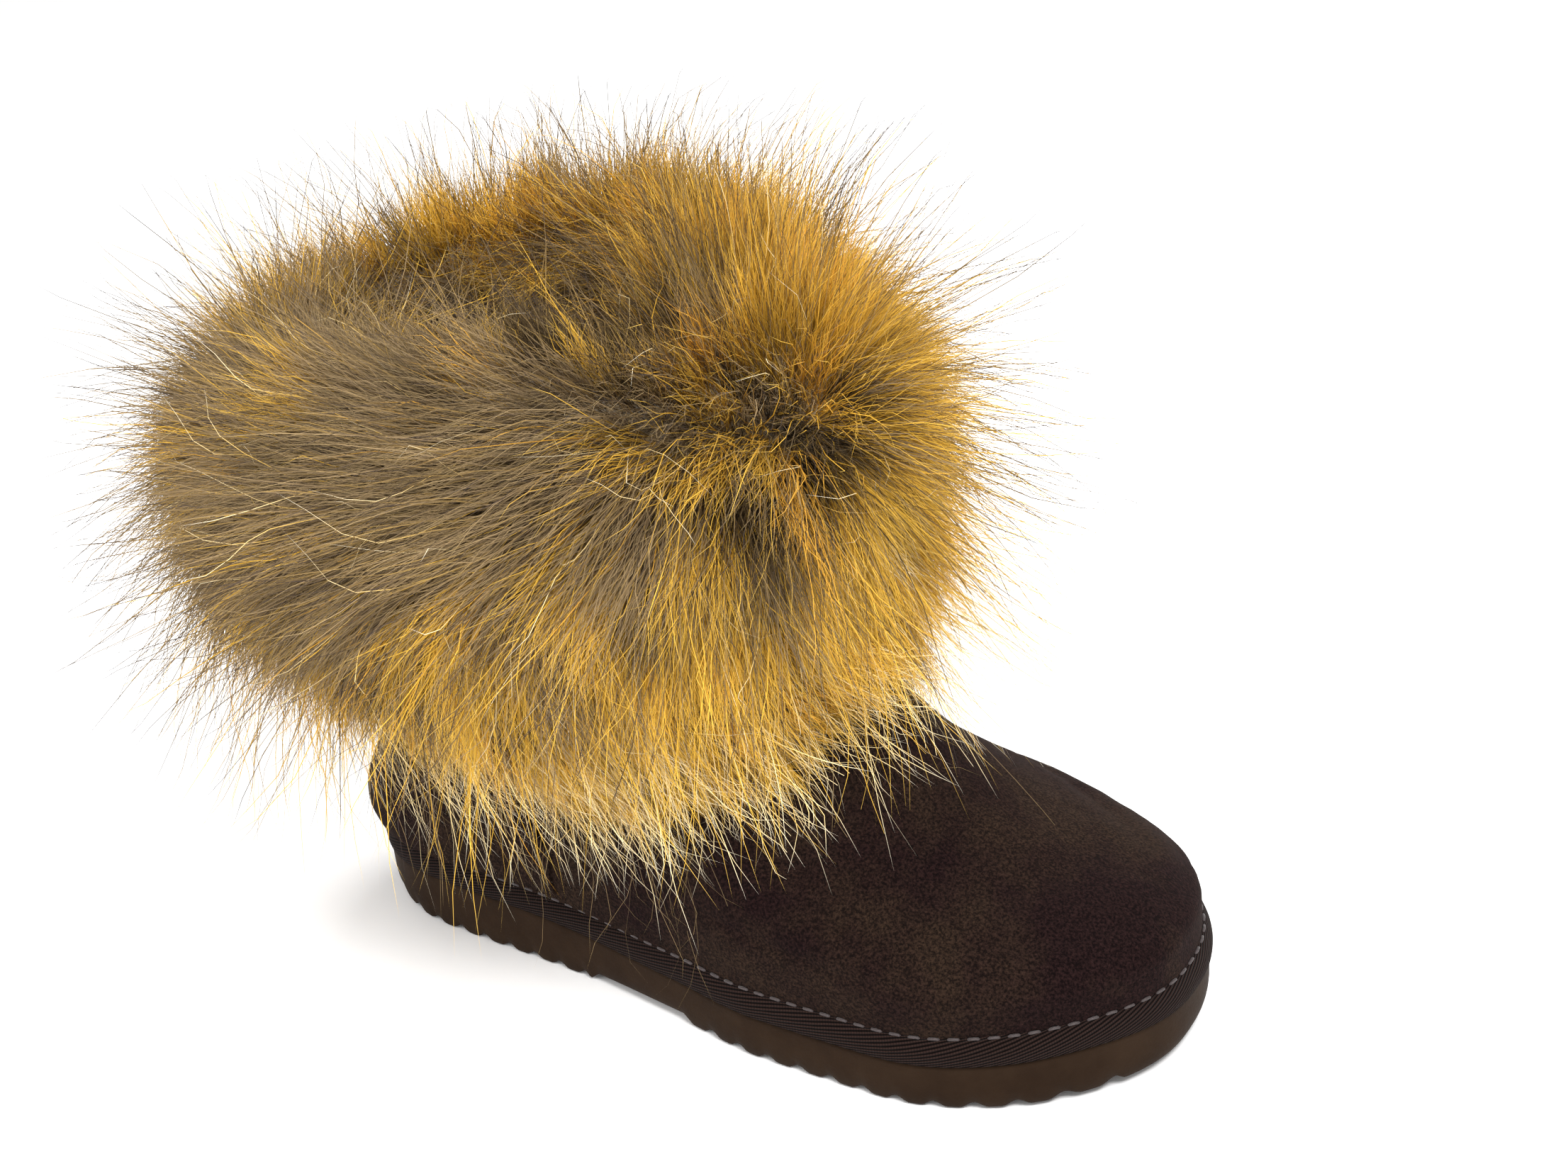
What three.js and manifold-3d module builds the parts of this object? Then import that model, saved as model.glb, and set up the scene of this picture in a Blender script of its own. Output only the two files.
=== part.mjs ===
// A low winter ankle boot for the right foot: a suede upper on a moulded foam sole, a ribbed binding
// tape round the join, a heel counter and a deep fur cuff with locks.
// Millimetres. +X points to the toe, +Y to the inner side of the foot, +Z up.
// The origin is on the floor under the middle of the heel.
import * as THREE from "three";
import { mergeVertices } from "three/addons/utils/BufferGeometryUtils.js";
import Module from "manifold-3d";

const wasm = await Module();
wasm.setup();

// Driving dimensions
const soleLength = 268;
const ballWidth = 113;
const heelSeat = 42; // from the back of the sole to the middle of the heel
const heelThickness = 18.2;
const ballThickness = 14.6;
const toeSpring = 3.6;
const heelBevel = 2.4;
const bevelEnd = 0.06; // share of soleLength from the heel to the end of its bevel
const springStart = 0.78; // share of soleLength from the heel to the start of the toe spring
const archLift = 2.6;
const soleTaper = 1.4; // how far the bottom edge stands in from the top edge
const treadDepth = 2.2;
const lugPitch = 10;
const lugFlat = 4.6;
const collarHeight = 140; // collar above the top of the sole
const shaftWidth = 100;
const upperWall = 2.6;
const bindingHeight = 8;
const bindingRoll = 0.8; // how far the tape stands out past the sole's top edge
const counterWall = 1.6;
const counterLift = 1.4; // counter's lower edge above the tape
const counterTop = 59.5; // above the floor, at the back of the heel
const insoleThickness = 6;
const cuffDepth = 56; // fur past the shaft's wall
const cuffRise = 40; // fur above the collar
const cuffDrop = 92; // fur below the collar
const lockLength = 40;
const lockWidth = 30;
const lockBulge = 9; // how far a lock stands up at its thickest
const lockSink = 0.3; // share of lockBulge that a lock's underside lies below its middle
const lockSway = 0.05; // how far a lock is turned from an even spacing, in radians
const lockUneven = 0.12; // how much the locks differ in length
const cuffSides = 32;
const cuffDetail = 0.3; // flat places of the fur this close together are joined
const seatGap = 0.3;

// Outline of the sole, as shares of soleLength and of half the ballWidth
const outlineRows = [
  { at: 0.0, inner: 0.67, outer: 0.67 },
  { at: 0.08, inner: 0.69, outer: 0.69 },
  { at: 0.2, inner: 0.71, outer: 0.74 },
  { at: 0.35, inner: 0.72, outer: 0.79 },
  { at: 0.5, inner: 0.8, outer: 0.9 },
  { at: 0.62, inner: 0.93, outer: 1.0 },
  { at: 0.75, inner: 1.02, outer: 1.01 },
  { at: 0.88, inner: 0.99, outer: 0.92 },
  { at: 1.0, inner: 0.88, outer: 0.78 },
];
const heelRounding = { reach: 0.15, power: 2.1 };
const toeRounding = { reach: 0.24, power: 2.3 };

// Side line of the sole's top: its height as a share of the step from ball to heel thickness,
// plus a share of the toe spring
const topRows = [
  { at: 0.0, step: 1.0, spring: 0 },
  { at: 0.25, step: 0.9, spring: 0 },
  { at: 0.5, step: 0.17, spring: 0 },
  { at: 0.8, step: 0.0, spring: 0 },
  { at: 1.0, step: 0.0, spring: 0.84 },
];

// Sections of the upper, from the sole up to the collar. Each is a loop that leans back as it climbs:
// back and front are its two ends along the sole, as shares of soleLength, and their heights are shares
// of collarHeight. spread is its width as a share of the sole's, shaft how far it has turned into the
// shaft's oval, and reach and power round its front end.
const upperRows = [
  {
    back: 0.018, backUp: 0.0, front: 0.982, frontUp: 0.0,
    spread: 0.91, shaft: 0, reach: 0.24, power: 2.3,
  },
  {
    back: 0.004, backUp: 0.05, front: 0.986, frontUp: 0.055,
    spread: 0.935, shaft: 0, reach: 0.24, power: 2.3,
  },
  {
    back: -0.009, backUp: 0.1, front: 0.986, frontUp: 0.11,
    spread: 0.95, shaft: 0, reach: 0.25, power: 2.3,
  },
  {
    back: 0.004, backUp: 0.165, front: 0.969, frontUp: 0.145,
    spread: 0.945, shaft: 0, reach: 0.27, power: 2.25,
  },
  {
    back: 0.022, backUp: 0.23, front: 0.94, frontUp: 0.182,
    spread: 0.92, shaft: 0.04, reach: 0.3, power: 2.2,
  },
  {
    back: 0.031, backUp: 0.3, front: 0.89, frontUp: 0.222,
    spread: 0.885, shaft: 0.1, reach: 0.34, power: 2.1,
  },
  {
    back: 0.034, backUp: 0.37, front: 0.825, frontUp: 0.272,
    spread: 0.86, shaft: 0.25, reach: 0.38, power: 2.05,
  },
  {
    back: 0.035, backUp: 0.45, front: 0.752, frontUp: 0.342,
    spread: 0.84, shaft: 0.42, reach: 0.4, power: 2.0,
  },
  {
    back: 0.034, backUp: 0.53, front: 0.68, frontUp: 0.44,
    spread: 0.83, shaft: 0.6, reach: 0.4, power: 2.0,
  },
  {
    back: 0.032, backUp: 0.63, front: 0.605, frontUp: 0.585,
    spread: 0.83, shaft: 0.8, reach: 0.38, power: 2.0,
  },
  {
    back: 0.029, backUp: 0.75, front: 0.55, frontUp: 0.725,
    spread: 0.84, shaft: 0.92, reach: 0.33, power: 2.0,
  },
  {
    back: 0.025, backUp: 0.87, front: 0.523, frontUp: 0.865,
    spread: 0.86, shaft: 1, reach: 0.3, power: 2.0,
  },
  {
    back: 0.02, backUp: 1.0, front: 0.51, frontUp: 1.0,
    spread: 0.88, shaft: 1, reach: 0.28, power: 2.0,
  },
];

// Section of the fur cuff, from its hem out, up and over to the inside. up is a share of its full
// height, out a share of cuffDepth from the shaft's wall.
const cuffRows = [
  { up: 0.0, out: 0.08 },
  { up: 0.02, out: 0.2 },
  { up: 0.12, out: 0.42 },
  { up: 0.28, out: 0.66 },
  { up: 0.47, out: 0.88 },
  { up: 0.66, out: 1.0 },
  { up: 0.83, out: 0.88 },
  { up: 0.95, out: 0.56 },
  { up: 1.0, out: 0.18 },
  { up: 0.96, out: -0.16 },
  { up: 0.76, out: -0.38 },
];

// How the cuff changes round the shaft, from the back (0) by the inner side to the back again (1):
// shares of cuffDepth, cuffRise and cuffDrop
const cuffTurns = [
  { around: 0.0, depth: 0.8, rise: 0.85, drop: 0.92 },
  { around: 0.125, depth: 0.88, rise: 1.15, drop: 0.95 },
  { around: 0.25, depth: 0.96, rise: 1.35, drop: 0.95 },
  { around: 0.375, depth: 1.02, rise: 1.3, drop: 0.85 },
  { around: 0.5, depth: 1.06, rise: 1.15, drop: 0.72 },
  { around: 0.625, depth: 1.08, rise: 1.0, drop: 0.86 },
  { around: 0.75, depth: 1.0, rise: 0.85, drop: 1.0 },
  { around: 0.875, depth: 0.84, rise: 0.75, drop: 0.96 },
  { around: 1.0, depth: 0.8, rise: 0.85, drop: 0.92 },
];

// Rows of locks over the cuff: where on its section they grow, how many there are, how far they stand
// off the fur, and their length as a share of lockLength. They lie towards the hem.
const lockRows = [
  { along: 1.2, count: 13, stand: 0.06, long: 0.95 },
  { along: 2.7, count: 14, stand: 0.2, long: 1.0 },
  { along: 4.2, count: 14, stand: 0.3, long: 1.0 },
  { along: 5.7, count: 14, stand: 0.4, long: 1.0 },
  { along: 7.3, count: 12, stand: 0.6, long: 0.95 },
];

// A smooth value of one column of a table at place x, where key is the column that x is measured in
function readRow(rows, key, column, x) {
  const last = rows.length - 1;
  let i = 0;
  while (i < last - 1 && rows[i + 1][key] < x) i += 1;
  const [a, b] = [rows[i], rows[i + 1]];
  const span = b[key] - a[key];
  const share = Math.min(1, Math.max(0, (x - a[key]) / span));
  const slope = (j) => {
    if (j === 0 || j === last) return 0;
    const before = (rows[j][column] - rows[j - 1][column]) / (rows[j][key] - rows[j - 1][key]);
    const after = (rows[j + 1][column] - rows[j][column]) / (rows[j + 1][key] - rows[j][key]);
    return before * after <= 0 ? 0 : (2 * before * after) / (before + after);
  };
  const s2 = share * share;
  const s3 = s2 * share;
  return (
    a[column] * (2 * s3 - 3 * s2 + 1) +
    slope(i) * span * (s3 - 2 * s2 + share) +
    b[column] * (3 * s2 - 2 * s3) +
    slope(i + 1) * span * (s3 - s2)
  );
}

// Rows without a place column get one: their number over the last row's number
function spaced(rows) {
  return rows.map((row, i) => ({ ...row, place: i / (rows.length - 1) }));
}

const sections = spaced(upperRows);
const cuffSections = spaced(cuffRows);

// How wide a rounded end is at a distance from its tip
function rounding(distance, { reach, power }) {
  const q = Math.min(1, Math.max(0, distance / reach));
  return Math.pow(1 - Math.pow(1 - q, power), 1 / power);
}

// Half the sole's width at share t of its length. side is 1 for the inner side and -1 for the outer.
function footWidth(t, side) {
  const clamped = Math.min(1, Math.max(0, t));
  return (readRow(outlineRows, "at", side > 0 ? "inner" : "outer", clamped) * ballWidth) / 2;
}

function soleTop(t) {
  const at = Math.min(1, Math.max(0, t));
  const step = readRow(topRows, "at", "step", at) * (heelThickness - ballThickness);
  return ballThickness + step + readRow(topRows, "at", "spring", at) * toeSpring;
}

const alongX = (t) => t * soleLength - heelSeat;

// The upper's outer surface. v runs from the sole (0) to the collar (1). turn runs round the boot:
// 0 is the middle of the heel, a half turn the toe, and the inner side comes first.
function upperPoint(v, turn) {
  const column = (name) => readRow(sections, "place", name, v);
  const side = Math.sin(turn) >= 0 ? 1 : -1;
  const share = (1 - Math.cos(turn)) / 2;
  const back = column("back");
  const front = column("front");
  const t = back + (front - back) * share;
  const up = column("backUp") + (column("frontUp") - column("backUp")) * share;
  const footPart =
    footWidth(t, side) *
    column("spread") *
    rounding(t - back, heelRounding) *
    rounding(front - t, { reach: column("reach"), power: column("power") });
  const shaftPart = (shaftWidth / 2) * Math.abs(Math.sin(turn));
  const shaft = column("shaft");
  const y = side * (footPart * (1 - shaft) + shaftPart * shaft);
  return new THREE.Vector3(alongX(t), y, soleTop(t) + seatGap + collarHeight * up);
}

// Outward normal of the upper, by small steps along it
function upperNormal(v, turn) {
  const step = 0.004;
  const low = Math.max(0, v - step);
  const high = Math.min(1, v + step);
  const upward = upperPoint(high, turn).sub(upperPoint(low, turn));
  const around = upperPoint(v, turn + step).sub(upperPoint(v, turn - step));
  return upward.cross(around).normalize();
}

const offUpper = (v, turn, distance) =>
  upperPoint(v, turn).addScaledVector(upperNormal(v, turn), distance);

// The v at which the upper reaches a height above the floor
function levelAt(height, turn) {
  let low = 0;
  let high = 1;
  for (let i = 0; i < 20; i += 1) {
    const middle = (low + high) / 2;
    if (upperPoint(middle, turn).z < height) low = middle;
    else high = middle;
  }
  return (low + high) / 2;
}

// Half the sole's width, moved in from its outline, at share t of its length
function soleHalf(t, side, inset) {
  const end = inset / soleLength;
  const kept = Math.max(0, 1 - (2 * inset) / ballWidth);
  return kept * footWidth(t, side) * rounding(t - end, heelRounding) * rounding(1 - end - t, toeRounding);
}

// The edge of the sole's top, with the same turns as the upper
function soleEdge(turn, inset) {
  const side = Math.sin(turn) >= 0 ? 1 : -1;
  const end = inset / soleLength;
  const t = end + ((1 - 2 * end) * (1 - Math.cos(turn))) / 2;
  return new THREE.Vector3(alongX(t), side * soleHalf(t, side, inset), soleTop(t));
}

// A closed surface through rings of points: each ring is joined to the next, and the last to the first
// if they go round. Ends that don't go round are closed by a fan, unless they have no area.
function solidOfRings(rings, { goesRound = false, capped = false } = {}) {
  const points = rings.flat();
  const size = rings[0].length;
  const faces = [];
  const ringPairs = goesRound ? rings.length : rings.length - 1;
  for (let i = 0; i < ringPairs; i += 1) {
    const next = (i + 1) % rings.length;
    for (let j = 0; j < size; j += 1) {
      const k = (j + 1) % size;
      faces.push([i * size + j, next * size + j, next * size + k]);
      faces.push([i * size + j, next * size + k, i * size + k]);
    }
  }
  if (capped) {
    const lastRing = (rings.length - 1) * size;
    for (let j = 1; j < size - 1; j += 1) {
      faces.push([0, j, j + 1]);
      faces.push([lastRing, lastRing + j + 1, lastRing + j]);
    }
  }
  return solidOfFaces(points, faces);
}

// A manifold solid from points and triangles, with doubled points merged and its faces turned outwards
function solidOfFaces(points, faces) {
  const raw = new THREE.BufferGeometry();
  const places = new THREE.Float32BufferAttribute(points.flatMap((p) => [p.x, p.y, p.z]), 3);
  raw.setAttribute("position", places);
  raw.setIndex(faces.flat());
  const merged = mergeVertices(raw, 1e-3);
  const index = merged.index.array;
  const kept = [];
  for (let i = 0; i < index.length; i += 3) {
    const [a, b, c] = [index[i], index[i + 1], index[i + 2]];
    if (a !== b && b !== c && c !== a) kept.push(a, b, c);
  }
  const position = merged.getAttribute("position");
  const corner = (i) => new THREE.Vector3().fromBufferAttribute(position, i);
  let volume = 0;
  for (let i = 0; i < kept.length; i += 3) {
    volume += corner(kept[i]).dot(corner(kept[i + 1]).cross(corner(kept[i + 2])));
  }
  const triVerts = new Uint32Array(kept);
  if (volume < 0) triVerts.reverse();
  return new wasm.Manifold(
    new wasm.Mesh({ numProp: 3, vertProperties: position.array, triVerts }),
  );
}

function meshOf(name, solid, { color, roughness }) {
  const { vertProperties, triVerts } = solid.getMesh();
  const geometry = new THREE.BufferGeometry();
  geometry.setAttribute("position", new THREE.Float32BufferAttribute(vertProperties, 3));
  geometry.setIndex(Array.from(triVerts));
  geometry.computeVertexNormals();
  const material = new THREE.MeshStandardMaterial({ color, roughness, metalness: 0 });
  const mesh = new THREE.Mesh(geometry, material);
  mesh.name = name;
  return mesh;
}

const turns = (count) => Array.from({ length: count }, (_, i) => (i / count) * 2 * Math.PI);

// The turns and levels at which the upper has its points. Pieces that lie on it use them too.
const upperSides = 52;
const upperTurns = turns(upperSides);
const bindingLevels = [0, 0.045, 0.095];
const upperLevels = [
  ...bindingLevels,
  0.135, 0.18, 0.24, 0.3, 0.36, 0.43, 0.51, 0.6, 0.72, 0.86, 1,
];

// Sole: a thick foam unit with cross bars under the heel and the forefoot, a plain raised arch,
// a sprung toe and a bevelled heel.
const treadZones = [
  { from: 0.012, to: 0.37 },
  { from: 0.52, to: 0.965 },
];

// Share of the groove's depth at a place under the sole: 0 on a bar, 1 in the middle of a groove
function groove(x) {
  const fromBar = Math.abs(x - Math.round(x / lugPitch) * lugPitch);
  const halfGroove = (lugPitch - lugFlat) / 2;
  const into = Math.max(0, fromBar - lugFlat / 2) / halfGroove;
  return (1 - Math.cos(Math.PI * into)) / 2;
}

// How far the bottom is above the floor
function soleBottom(t) {
  const spring = toeSpring * Math.pow(Math.max(0, (t - springStart) / (1 - springStart)), 2);
  const bevel = heelBevel * Math.pow(Math.max(0, (bevelEnd - t) / bevelEnd), 2);
  const inTread = treadZones.some(({ from, to }) => t > from && t < to);
  const plain = t > treadZones[0].to && t < treadZones[1].from ? archLift : 0;
  return spring + bevel + (inTread ? treadDepth * groove(alongX(t)) : plain);
}

function soleStations() {
  const list = [];
  const firstBar = Math.ceil(-heelSeat / lugPitch);
  const lastBar = Math.floor((soleLength - heelSeat) / lugPitch);
  for (let bar = firstBar; bar <= lastBar; bar += 1) {
    for (const offset of [-lugFlat / 2, lugFlat / 2, lugPitch / 2]) {
      list.push((bar * lugPitch + offset + heelSeat) / soleLength);
    }
  }
  const ends = [0, 0.002, 0.007, 0.017];
  const close = 0.003;
  const inside = list.filter((t) => t > ends[3] + close && t < 1 - ends[3] - close);
  return [...ends, ...inside.sort((a, b) => a - b), ...ends.map((t) => 1 - t).reverse()];
}

function outsole() {
  // Levels of the side wall, from the top edge down to the tread: inset is a share of soleTaper,
  // and down a share of the thickness
  const wallRows = [
    { inset: 0.0, down: 0 },
    { inset: 0.08, down: 0.45 },
    { inset: 0.35, down: 0.82 },
    { inset: 1.0, down: 1 },
  ];
  const rings = soleStations().map((t) => {
    const wall = (side) =>
      wallRows.map(({ inset, down }) => {
        const z = soleTop(t) + (soleBottom(t) - soleTop(t)) * down;
        return new THREE.Vector3(alongX(t), side * soleHalf(t, side, inset * soleTaper), z);
      });
    return [...wall(1), ...wall(-1).reverse()];
  });
  return solidOfRings(rings);
}

// Insole: it lies on the sole inside the upper's foot
function insole() {
  const inset = upperWall + seatGap;
  const edge = (turn, up) => {
    const point = offUpper(0, turn, -inset);
    const t = (point.x + heelSeat) / soleLength;
    return point.setZ(soleTop(t) + up);
  };
  const halfWay = upperTurns.length / 2;
  const rings = upperTurns.slice(0, halfWay).concat(Math.PI).map((turn) => [
    edge(turn, seatGap),
    edge(turn, seatGap + insoleThickness),
    edge(-turn, seatGap + insoleThickness),
    edge(-turn, seatGap),
  ]);
  return solidOfRings(rings);
}

// Upper: one wall from the feather edge to the collar, open above and underneath
function upper() {
  const rings = upperTurns.map((turn) => {
    const outer = upperLevels.map((v) => upperPoint(v, turn));
    const inner = upperLevels.map((v) => offUpper(v, turn, -upperWall));
    inner[0].setZ(outer[0].z);
    inner[inner.length - 1].setZ(outer[outer.length - 1].z);
    return [...outer, ...inner.reverse()];
  });
  return solidOfRings(rings, { goesRound: true });
}

// Binding tape: a soft wedge that fills the corner between the sole's edge and the upper
function binding() {
  // out is the share of the way from the upper to the sole's edge, up a share of bindingHeight
  const rows = [
    { out: 1.0, up: 0.3 },
    { out: 0.82, up: 0.68 },
    { out: 0.5, up: 0.93 },
    { out: 0.2, up: 1.0 },
  ];
  const rings = upperTurns.map((turn) => {
    const wall = bindingLevels.map((v) => offUpper(v, turn, seatGap));
    const edge = soleEdge(turn, -bindingRoll);
    const base = edge.z + seatGap;
    const [foot, , top] = wall;
    const outer = rows.map(({ out, up }) => {
      const near = foot.clone().lerp(top, up);
      return near.lerp(edge, out).setZ(base + bindingHeight * up);
    });
    foot.setZ(base);
    return [...wall.reverse(), edge.setZ(base), ...outer];
  });
  return solidOfRings(rings, { goesRound: true });
}

// The upper's surface moved out by a distance, closed above and below into a solid
function upperEnvelope(distance, levels) {
  const rings = levels.map((v) => upperTurns.map((turn) => offUpper(v, turn, distance)));
  const above = rings[rings.length - 1].map((p) => p.clone().setZ(p.z + distance));
  return solidOfRings([...rings, above], { capped: true });
}

// Heel counter: a patch over the back of the upper, cut to its outline in side view. along is a share
// of soleLength from the middle of the heel, up a share of the step from counterLow to counterTop.
const counterLow = heelThickness + bindingHeight + counterLift;
const counterOutline = [
  { along: -0.2, up: 0 },
  { along: 0.188, up: -0.05 },
  { along: 0.185, up: 0.26 },
  { along: 0.175, up: 0.51 },
  { along: 0.157, up: 0.71 },
  { along: 0.123, up: 0.86 },
  { along: 0.067, up: 0.95 },
  { along: 0, up: 1 },
  { along: -0.2, up: 1 },
];

// The highest level of the upper that the counter's sheet is made on
const counterReach = 0.52;

function heelCounter() {
  const levels = upperLevels.filter((v) => v >= bindingLevels[2] && v <= counterReach);
  const sheet = upperEnvelope(seatGap + counterWall, levels).subtract(
    upperEnvelope(seatGap, upperLevels),
  );
  const corners = counterOutline.map(({ along, up }) => [
    along * soleLength,
    counterLow + (counterTop - counterLow) * up,
  ]);
  const outline = wasm.CrossSection.ofPolygons([corners]);
  const cutter = outline.extrude(2 * ballWidth).rotate([90, 0, 0]).translate([0, ballWidth, 0]);
  return largest(sheet.intersect(cutter));
}

const largest = (solid) => solid.decompose().sort((a, b) => b.volume() - a.volume())[0];

// Fur cuff: a thick ring of fur round the shaft and over the collar, with locks growing from it
const collarTop = (turn) => upperPoint(1, turn);

function outwardAt(turn) {
  const ahead = collarTop(turn + 0.01).sub(collarTop(turn - 0.01));
  return new THREE.Vector3(-ahead.y, ahead.x, 0).normalize();
}

// A value of cuffTurns at a turn round the boot
function cuffAt(turn, column) {
  const around = turn / (2 * Math.PI);
  return readRow(cuffTurns, "around", column, around - Math.floor(around));
}

const hemHeight = (turn) => collarTop(turn).z - cuffDrop * cuffAt(turn, "drop");

// The upper's wall under the cuff, from the hem (0) to the collar (1)
function wallUnder(turn, share) {
  const height = hemHeight(turn) + (collarTop(turn).z - hemHeight(turn)) * share;
  return upperPoint(levelAt(height, turn), turn);
}

function cuffPoint(along, turn) {
  const rise = readRow(cuffSections, "place", "up", along / (cuffSections.length - 1));
  const out = readRow(cuffSections, "place", "out", along / (cuffSections.length - 1));
  const hem = hemHeight(turn);
  const collar = collarTop(turn).z;
  const height = hem + (collar + cuffRise * cuffAt(turn, "rise") - hem) * rise;
  const wall = wallUnder(turn, Math.min(1, Math.max(0, (height - hem) / (collar - hem))));
  return wall.setZ(height).addScaledVector(outwardAt(turn), cuffDepth * cuffAt(turn, "depth") * out);
}

// A section of the cuff. Its inner side runs inside the upper's wall, which cuts it back later.
function cuffRing(turn) {
  const outer = cuffRows.map((_, i) => cuffPoint(i, turn));
  const buried = -0.6 * upperWall;
  const wall = [0.97, 0.7, 0.45, 0.2, 0].map((share) =>
    wallUnder(turn, share).addScaledVector(outwardAt(turn), buried),
  );
  const underLip = outer.at(-1).clone().lerp(wall[0], 0.5).setZ(wall[0].z);
  return [...outer, underLip, ...wall];
}

// One lock: a bent leaf on three sides. Its root is sunk in the fur and it lies towards the hem.
function lock({ along, stand }, turn, length) {
  const root = cuffPoint(along, turn);
  const step = 0.3;
  const hemward = cuffPoint(along - step, turn).sub(cuffPoint(along + step, turn)).normalize();
  const around = cuffPoint(along, turn + step * 0.1).sub(cuffPoint(along, turn - step * 0.1)).normalize();
  const off = around.clone().cross(hemward).normalize();
  const stations = [
    { far: -0.15, lift: -0.16, width: 0.6, bulge: 0.5 },
    { far: 0.25, lift: 0.05, width: 1.0, bulge: 1.0 },
    { far: 0.62, lift: 0.55, width: 0.72, bulge: 0.8 },
    { far: 1.0, lift: 1.0, width: 0, bulge: 0 },
  ];
  const rings = stations.map(({ far, lift, width, bulge }) => {
    const middle = root
      .clone()
      .addScaledVector(hemward, far * length)
      .addScaledVector(off, lift * stand * length);
    const ridge = middle.clone().addScaledVector(off, bulge * lockBulge);
    middle.addScaledVector(off, -lockSink * bulge * lockBulge);
    const left = middle.clone().addScaledVector(around, (-width * lockWidth) / 2);
    const right = middle.clone().addScaledVector(around, (width * lockWidth) / 2);
    return [left, ridge, right];
  });
  return solidOfRings(rings, { capped: true });
}

function furCuff() {
  const ring = solidOfRings(turns(cuffSides).map(cuffRing), { goesRound: true });
  const locks = lockRows.flatMap((row, level) =>
    turns(row.count).map((turn, i) => {
      const shift = (level % 2) * (Math.PI / row.count);
      const uneven = Math.sin(i * 2.4 + level * 1.7);
      const place = turn + shift + uneven * lockSway;
      const length = lockLength * row.long * (1 + lockUneven * uneven);
      return lock(row, place, length * Math.pow(cuffAt(place, "depth"), 2));
    }),
  );
  const fur = wasm.Manifold.union([ring, ...locks]);
  const counterLevels = upperLevels.filter((v) => v <= counterReach);
  const clear = upperEnvelope(2 * seatGap + counterWall, counterLevels);
  return largest(fur.simplify(cuffDetail).subtract(upperEnvelope(seatGap, upperLevels)).subtract(clear));
}

const finishes = {
  suede: { color: 0x2b2220, roughness: 0.95 },
  tape: { color: 0x2e2622, roughness: 0.8 },
  foam: { color: 0x34291f, roughness: 0.7 },
  fleece: { color: 0x6b5a44, roughness: 1 },
  fur: { color: 0xa8864a, roughness: 0.9 },
};

const boot = new THREE.Group();
boot.add(
  meshOf("outsole", outsole(), finishes.foam),
  meshOf("insole", insole(), finishes.fleece),
  meshOf("upper", upper(), finishes.suede),
  meshOf("binding_tape", binding(), finishes.tape),
  meshOf("heel_counter", heelCounter(), finishes.suede),
  meshOf("fur_cuff", furCuff(), finishes.fur),
);

export default boot;
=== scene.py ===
import bmesh
import bpy
import numpy as np
from mathutils import Matrix, Vector
from mathutils.kdtree import KDTree


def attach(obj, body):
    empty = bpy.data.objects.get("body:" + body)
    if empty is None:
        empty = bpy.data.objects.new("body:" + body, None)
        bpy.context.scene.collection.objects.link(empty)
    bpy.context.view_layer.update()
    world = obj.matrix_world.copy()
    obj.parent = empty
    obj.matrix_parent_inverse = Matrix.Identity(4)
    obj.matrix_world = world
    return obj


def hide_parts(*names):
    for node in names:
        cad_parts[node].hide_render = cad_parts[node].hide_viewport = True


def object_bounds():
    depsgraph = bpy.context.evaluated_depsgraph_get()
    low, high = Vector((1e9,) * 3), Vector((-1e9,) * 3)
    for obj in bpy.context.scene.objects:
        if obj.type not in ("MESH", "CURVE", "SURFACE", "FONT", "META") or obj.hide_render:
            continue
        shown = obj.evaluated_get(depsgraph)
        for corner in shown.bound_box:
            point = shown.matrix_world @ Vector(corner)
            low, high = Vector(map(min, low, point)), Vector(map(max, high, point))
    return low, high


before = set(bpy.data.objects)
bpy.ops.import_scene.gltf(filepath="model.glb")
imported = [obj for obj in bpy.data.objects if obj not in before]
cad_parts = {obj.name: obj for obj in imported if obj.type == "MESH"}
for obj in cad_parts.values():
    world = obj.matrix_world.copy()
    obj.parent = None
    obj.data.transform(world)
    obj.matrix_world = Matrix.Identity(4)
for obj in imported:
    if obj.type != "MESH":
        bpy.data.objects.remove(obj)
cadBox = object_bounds()
mm = 0.001
fullTurn = 2 * np.pi


def addObject(name, data):
    added = bpy.data.objects.new(name, data)
    bpy.context.scene.collection.objects.link(added)
    return added


# Camera: the photo's angle to the boot, rolled a little with it
cameraSettings = {
    "place": (0.4025, -0.4377, 0.3608),
    "right": (0.85, 0.519, -0.092),
    "back": (0.505, -0.753, 0.422),
    "lens": 48.9,
}


def addCamera(settings):
    back = Vector(settings["back"]).normalized()
    right = Vector(settings["right"])
    right = (right - back * right.dot(back)).normalized()
    up = back.cross(right)
    turned = Matrix((right, up, back)).transposed().to_4x4()
    data = bpy.data.cameras.new("camera")
    data.lens = settings["lens"]
    data.sensor_width = 36
    data.sensor_fit = "HORIZONTAL"
    data.clip_start = 0.01
    camera = addObject("camera", data)
    camera.matrix_world = Matrix.Translation(settings["place"]) @ turned
    bpy.context.scene.camera = camera


addCamera(cameraSettings)
print("camera placed")


# A table as a list of rows that are read by their columns' names
def tableOf(columns, rows):
    return [dict(zip(columns, row)) for row in rows]


# Shape of the boot, shared by its pieces
boot = {
    "soleLength": 268 * mm,
    "ballWidth": 113 * mm,
    "heelSeat": 42 * mm,  # from the back of the sole to the origin
    "heelThickness": 18.2 * mm,
    "ballThickness": 14.6 * mm,
    "toeSpring": 3.6 * mm,
    "collarHeight": 140 * mm,
    "shaftWidth": 100 * mm,
    "upperWall": 2.6 * mm,
    "seatGap": 0.3 * mm,
}

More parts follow.
